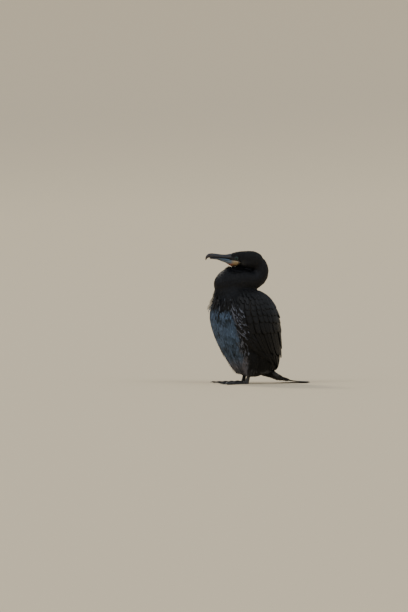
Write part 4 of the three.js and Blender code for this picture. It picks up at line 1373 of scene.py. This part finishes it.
class CormorantEyes(bpy.types.Operator):
    """The eyes with iris and pupil, and the beaded rings of bare skin round them"""

    bl_idname = "cormorant.eyes"
    bl_label = "Eyes"

    def execute(self, context):
        lid = self.lid_look()
        for side, name in SIDES:
            centre = EYE * (side, 1, 1)
            gaze = unit(np.array([side * 0.95, -0.30, 0.02]))
            self.ball(name, centre, gaze)
            finished(self.ring(name, centre, gaze), lid, "throat_skin")
        return {"FINISHED"}

    def lid_look(self):
        look = Look("lid_skin")
        tone = look.noise(800, 3)
        look.set(Base_Color=look.blend(tone, (0.011, 0.013, 0.017), (0.034, 0.040, 0.048)), Roughness=0.45)
        return look.bump(tone, 0.3, 0.0002)

    def ball(self, name, centre, gaze):
        place = Vector(in_row(head_turned(centre)))
        turned = Vector(head_turned(gaze) - HEAD_PIVOT)
        ball = fresh(bpy.ops.mesh.primitive_uv_sphere_add, segments=48, ring_count=32, radius=EYE_RADIUS * MM)
        ball.name = ball.data.name = "eyeball_" + name
        for vertex in ball.data.vertices:
            facing = vertex.co.normalized().dot(turned)
            if facing > 0.75:
                vertex.co *= 1 + 0.07 * float(smooth(0.75, 1.0, facing))
            vertex.co += place
        ball.data.shade_smooth()
        look = Look("eye_" + name)
        outward = look.vector("SUBTRACT", "Vector", look.place(), tuple(place))
        outward = look.vector("NORMALIZE", "Vector", outward)
        straight = look.vector("DOT_PRODUCT", "Value", outward, tuple(turned))
        rays = look.noise(1500, 4)
        iris = look.blend(look.step(rays, 0.3, 0.7), (0.006, 0.027, 0.022), (0.017, 0.068, 0.055))
        iris = look.blend(1.0 - look.step(straight, 0.70, 0.76), iris, (0.01, 0.012, 0.012))
        eye = look.blend(look.step(straight + rays * 0.006, 0.905, 0.915), iris, (0.002, 0.002, 0.002))
        look.set(Base_Color=eye, Roughness=0.2, Specular_IOR_Level=0.1, Coat_Weight=0.55, Coat_Roughness=0.02)
        finished(ball, look, "eye", "eye_" + name)

    def ring(self, name, centre, gaze):
        """Small beads of skin in two rings on the lid's edge."""
        across = unit(np.cross(gaze, [0, 0, 1.0]))
        up = np.cross(across, gaze)
        beads = []
        for radius, out, count, size in LID_RINGS:
            for i in range(count):
                turn = 2 * math.pi * i / count
                spot = centre + gaze * out + (across * math.cos(turn) + up * math.sin(turn) * 0.96) * radius
                beads.append((spot, size))
        bead = fresh(bpy.ops.mesh.primitive_ico_sphere_add, subdivisions=2, radius=1)
        shape = numbers(bead.data.vertices, "co")
        faces = np.array([tuple(p.vertices) for p in bead.data.polygons])
        bpy.data.objects.remove(bead)
        points = np.concatenate([in_row(head_turned(spot + shape * size)) for spot, size in beads])
        walls = np.concatenate([faces + i * len(shape) for i in range(len(beads))])
        mesh, _ = mesh_from("lid_ring_" + name, points, [walls])
        mesh.shade_smooth()
        return linked("lid_ring_" + name, mesh)


def foot_way(angle):
    return np.array([math.sin(math.radians(angle)), -math.cos(math.radians(angle)), 0.0])


def toe_height(u, joints, height):
    knuckle = 1 + 0.13 * np.cos(2 * math.pi * joints * u)
    return mix(height, TOE_TIP_HEIGHT, u ** 0.8) * knuckle


class CormorantFeet(bpy.types.Operator):
    """Webbed feet with scaled toes, short shanks and curved claws"""

    bl_idname = "cormorant.feet"
    bl_label = "Feet"

    def execute(self, context):
        look = self.skin_look()
        web_look = self.web_look()
        claw_look = self.claw_look()
        for side, name in SIDES:
            self.put = np.array([side, 1, 1])
            self.shift = np.array([0, LEG_STEP[name], 0])
            foot = fused("foot_skin_" + name, [*[self.toe(*toe) for toe in TOES], self.scutes(name)])
            edited(foot, bpy.ops.mesh.normals_make_consistent, inside=False)
            finished(shaded(foot, 60), look, "leg_skin", "foot_" + name)
            finished(self.web(name), web_look, "leg_skin", "foot_" + name)
            finished(shaded(self.shank(name), 60), look, "leg_skin", "shank_" + name)
            for i, toe in enumerate(TOES, 1):
                finished(self.claw(f"claw_horn_{name}_{i}", toe), claw_look, "claw", f"claw_{name}_{i}")
        return {"FINISHED"}

    def placed(self, points):
        return in_row(np.asarray(points) * self.put + self.shift)

    def toe(self, angle, length, joints, height):
        way = foot_way(angle)
        across = np.cross(way, [0, 0, 1.0])
        turn = full_turn(20)
        rings = []
        for u in np.linspace(-0.04, 1.0, 8 * joints + 4):
            tall = toe_height(max(u, 0), joints, height) * (1 if u < 0.97 else 0.86)
            middle = np.array([*FOOT_JOINT, tall * 0.4]) + way * length * u
            ring = middle + np.outer(np.sin(turn) * tall * 0.48, across)
            ring[:, 2] += np.where(np.cos(turn) > 0, 0.6, 1.0) * np.cos(turn) * tall
            ring[:, 2] = np.maximum(ring[:, 2], 0.0)
            rings.append(self.placed(ring))
        return loft("toe", rings)

    def scutes(self, name):
        """Overlapping plates along the top of every toe."""
        spines, outs, halves = [], [], []
        for angle, length, joints, height in TOES:
            way = foot_way(angle)
            for start in np.arange(3.0, length - 3.0, 2.3):
                u = (start + np.linspace(-0.4, 2.6, 4)) / length
                tall = toe_height(np.clip(u, 0, 1), joints, height)
                spine = np.array([*FOOT_JOINT, 0]) + way * (u * length)[:, None]
                spine[:, 2] = tall + np.array([-0.2, 0.12, 0.25, 0.2])
                spines.append(self.placed(spine))
                outs.append(np.broadcast_to([0, 0, 1.0], (4, 3)))
                halves.append(tall * 0.40 * MM * np.array([0.95, 1.0, 1.0, 0.86]))
        count = len(spines)
        return feather_mesh("scutes_" + name, np.array(spines), np.array(outs), np.array(halves),
                            FINE_SECTION, 0.00022, 230.0, tint=np.ones((count, 3)), fringe=0.0, size=0.002)

    def web(self, name):
        """Thin skin between the toes, hollowed between their tips and lightly puckered."""
        points, walls = [], []
        across, along = 14, 22
        for (a, la, _, _), (b, lb, _, _) in zip(TOES[:-1], TOES[1:]):
            v, u = np.meshgrid(np.linspace(0, 1, across), np.linspace(0.03, 1, along), indexing="ij")
            reach = 1 - 0.30 * (4 * v * (1 - v)) * u
            start = np.array([*FOOT_JOINT, 0.0])
            first = foot_way(a) * (la - WEB_STOPS_SHORT)
            second = foot_way(b) * (lb - WEB_STOPS_SHORT)
            spot = start + (first * (1 - v[..., None]) + second * v[..., None]) * (u * reach)[..., None]
            pucker = 0.35 * np.sin(v * math.pi) * np.sin(9 * v * math.pi) * smooth(0.15, 0.6, u)
            top = spot.copy()
            top[..., 2] = WEB_THICKNESS + pucker * 0.8 + 1.2 * (1 - np.sin(v * math.pi)) * (1 - u)
            under = spot.copy()
            under[..., 2] = LOWEST / 2
            base = len(np.concatenate(points)) if points else 0
            cells = np.arange(across * along).reshape(across, along)
            faces = np.stack([cells[:-1, :-1], cells[:-1, 1:], cells[1:, 1:], cells[1:, :-1]], -1)
            faces = faces.reshape(-1, 4)
            border = np.concatenate([cells[0, :-1], cells[:-1, -1], cells[-1, :0:-1], cells[:0:-1, 0]])
            after = np.roll(border, -1)
            skirt = np.stack([border, after, after + cells.size, border + cells.size], -1)
            points.append(self.placed(top).reshape(-1, 3))
            points.append(self.placed(under).reshape(-1, 3))
            walls.append(faces + base)
            walls.append(faces[:, ::-1] + cells.size + base)
            walls.append(skirt + base)
        mesh, _ = mesh_from("web_" + name, np.concatenate(points), walls)
        web = linked("web_" + name, mesh)
        edited(web, bpy.ops.mesh.normals_make_consistent, inside=False)
        return shaded(web, 40)

    def shank(self, name):
        turn = full_turn(24)
        stations = through(np.column_stack([-SHANK[:, 2], SHANK]), np.linspace(-33, -5, 16))
        rings = []
        for x, y, z, half, thick in stations:
            ripple = 1 + 0.02 * math.sin(z * 2.6)
            ring = np.stack(
                [x + half * ripple * np.sin(turn), y + thick * ripple * np.cos(turn), 0 * turn + z], -1)
            rings.append(self.placed(ring))
        return loft("shank_skin_" + name, rings)

    def claw(self, name, toe):
        angle, length = toe[:2]
        way = foot_way(angle)
        across = np.cross(way, [0, 0, 1.0])
        turn = full_turn(16)
        rings = []
        for u in np.linspace(0, 1, 14):
            size = mix(2.1, 0.22, u ** 1.3)
            out = length + GAP - CLAW_ROOT + (CLAW_LENGTH + CLAW_ROOT) * math.sin(1.35 * u)
            middle = np.array([*FOOT_JOINT, 3.4 - 2.6 * u * u]) + way * out
            ring = middle + np.outer(np.sin(turn) * size * 0.78, across)
            ring[:, 2] += np.cos(turn) * size
            ring[:, 2] = np.maximum(ring[:, 2], LOWEST / 2)
            rings.append(self.placed(ring))
        claw = loft(name, rings)
        claw.data.shade_smooth()
        return claw

    def skin_look(self):
        look = Look("toe_skin")
        scale = look.cells(1400)
        cloud = look.noise(200, 3)
        tone = look.blend(look.step(scale, 0.1, 0.55), (0.030, 0.031, 0.033), (0.009, 0.009, 0.010))
        tone = look.blend(look.step(cloud, 0.5, 0.7) * 0.4, tone, (0.045, 0.044, 0.043))
        look.set(Base_Color=tone, Roughness=0.48, Coat_Weight=0.1, Coat_Roughness=0.3)
        return look.bump(1.0 - scale, 0.5, 0.0003)

    def web_look(self):
        look = Look("web_skin")
        scale = look.cells(900)
        cloud = look.noise(90, 4)
        tone = look.blend(look.step(scale, 0.1, 0.6), (0.026, 0.027, 0.029), (0.008, 0.008, 0.009))
        tone = look.blend(look.step(cloud, 0.45, 0.7) * 0.5, tone, (0.035, 0.034, 0.034))
        look.set(Base_Color=tone, Roughness=0.52, Coat_Weight=0.08, Coat_Roughness=0.35)
        return look.bump((1.0 - scale) + cloud * 0.5, 0.5, 0.0004)

    def claw_look(self):
        look = Look("claw_horn")
        grain = look.noise(600, 3)
        look.set(Base_Color=look.blend(grain, (0.012, 0.011, 0.011), (0.05, 0.045, 0.042)), Roughness=0.3,
                 Coat_Weight=0.3, Coat_Roughness=0.2)
        return look.bump(grain, 0.2, 0.0002)


# The studio: the camera's direction and distance, where the leg line meets the ground in the frame, the floor
VIEW_AZIMUTH = math.radians(68)
VIEW_ELEVATION = math.radians(1.2)
VIEW_DISTANCE = 12.0
METRES_PER_PIXEL = 0.003
FRAME_PIXELS = (408, 612)
LEG_PIXEL = (245.0, 383.5)
RIM_RADIUS = 24.0
RIM_HEIGHT = 5.0
FLOOR_SIDES = 128
# Each light: azimuth, height and softness in degrees, power and colour
LIGHTS = (
    ("key_light", -78, 42, 14, 1.2, (1.0, 0.93, 0.80)),
    ("breast_light", 15, 42, 26, 0.75, (0.96, 0.98, 1.0)),
    ("fill_light", 118, 46, 30, 0.55, (0.95, 0.98, 1.0)),
)


def direction(azimuth, elevation):
    return Vector((math.sin(azimuth) * math.cos(elevation), -math.cos(azimuth) * math.cos(elevation),
                   math.sin(elevation)))


class CormorantStage(bpy.types.Operator):
    """The pale floor and backdrop, the lights and the camera"""

    bl_idname = "cormorant.stage"
    bl_label = "Stage"

    def execute(self, context):
        self.camera()
        self.floor()
        self.lights()
        return {"FINISHED"}

    def camera(self):
        right = Vector((math.cos(VIEW_AZIMUTH), math.sin(VIEW_AZIMUTH), 0))
        back = direction(VIEW_AZIMUTH, VIEW_ELEVATION)
        wide, tall = FRAME_PIXELS
        aim = Vector(in_row([0, 0, 0]))
        aim += right * (wide / 2 - LEG_PIXEL[0]) * METRES_PER_PIXEL
        aim.z += (LEG_PIXEL[1] - tall / 2) * METRES_PER_PIXEL
        data = bpy.data.cameras.new("camera")
        data.sensor_width = 36
        data.lens = 36 * VIEW_DISTANCE / (tall * METRES_PER_PIXEL)
        data.clip_end = 100
        camera = linked("camera", data)
        camera.location = aim + back * VIEW_DISTANCE
        camera.rotation_mode = "QUATERNION"
        camera.rotation_quaternion = (-back).to_track_quat("-Z", "Y")
        bpy.context.scene.camera = camera

    def floor(self):
        """A round floor whose rim, beyond the camera, rises ever more steeply into a backdrop all round."""
        steepening = math.pi / 2 / RIM_HEIGHT
        heights = RIM_HEIGHT * np.geomspace(0.002, 1, 48)
        rise = np.concatenate([[0.0, 0.0], heights])
        away = np.concatenate([[0.5, 2.0], RIM_RADIUS + np.log(np.sin(steepening * heights)) / steepening])
        turn = full_turn(FLOOR_SIDES)
        points = np.stack([np.outer(away, np.cos(turn)), np.outer(away, np.sin(turn)),
                           np.outer(rise, np.ones(FLOOR_SIDES))], -1)
        index = np.arange(len(away) * FLOOR_SIDES).reshape(len(away), FLOOR_SIDES)
        after = np.roll(index, -1, axis=1)
        walls = np.stack([index[:-1], index[1:], after[1:], after[:-1]], -1).reshape(-1, 4)
        mesh, _ = mesh_from("studio_floor", points.reshape(-1, 3), [index[:1], walls])
        mesh.shade_smooth()
        look = Look("studio_floor")
        look.set(Base_Color=(0.68, 0.57, 0.40), Roughness=0.9, Specular_IOR_Level=0.1)
        mesh.materials.append(look.material)
        linked("studio_floor", mesh)

    def lights(self):
        world = bpy.data.worlds.new("studio")
        bpy.context.scene.world = world
        world.use_nodes = True
        sky = world.node_tree.nodes["Background"]
        sky.inputs["Color"].default_value = (0.84, 0.91, 1.0, 1.0)
        sky.inputs["Strength"].default_value = 0.6
        middle = Vector(in_row([0, 0, 200]))
        for name, azimuth, height, spread, power, colour in LIGHTS:
            way = direction(math.radians(azimuth), math.radians(height))
            data = bpy.data.lights.new(name, "SUN")
            data.angle = math.radians(spread)
            data.energy = power
            data.color = colour
            light = linked(name, data)
            light.location = middle + way * 3
            light.rotation_mode = "QUATERNION"
            light.rotation_quaternion = (-way).to_track_quat("-Z", "Y")


OPERATORS = (CormorantStage, CormorantSkin, CormorantCoat, CormorantWings, CormorantMantle, CormorantTail,
             CormorantFace, CormorantBill, CormorantPouch, CormorantEyes, CormorantFeet)


class CormorantPanel(bpy.types.Panel):
    """Lists the cormorant's sizes, colours and pieces"""

    bl_idname = "VIEW3D_PT_cormorant"
    bl_label = "Cormorant"
    bl_space_type = "VIEW_3D"
    bl_region_type = "UI"
    bl_category = "Cormorant"

    def draw(self, context):
        for group in (context.scene.cormorant_sizes, context.scene.cormorant_colours):
            for key in group.__annotations__:
                self.layout.prop(group, key)
        for operator in OPERATORS:
            self.layout.operator(operator.bl_idname)


CLASSES = (CormorantSizes, CormorantColours, *OPERATORS, CormorantPanel)


def register():
    for one in CLASSES:
        bpy.utils.register_class(one)
    bpy.types.Scene.cormorant_sizes = PointerProperty(type=CormorantSizes)
    bpy.types.Scene.cormorant_colours = PointerProperty(type=CormorantColours)


def unregister():
    del bpy.types.Scene.cormorant_colours
    del bpy.types.Scene.cormorant_sizes
    for one in reversed(CLASSES):
        bpy.utils.unregister_class(one)


def main():
    register()
    for operator in OPERATORS:
        group, name = operator.bl_idname.split(".")
        getattr(getattr(bpy.ops, group), name)()


if __name__ == "__main__":
    main()
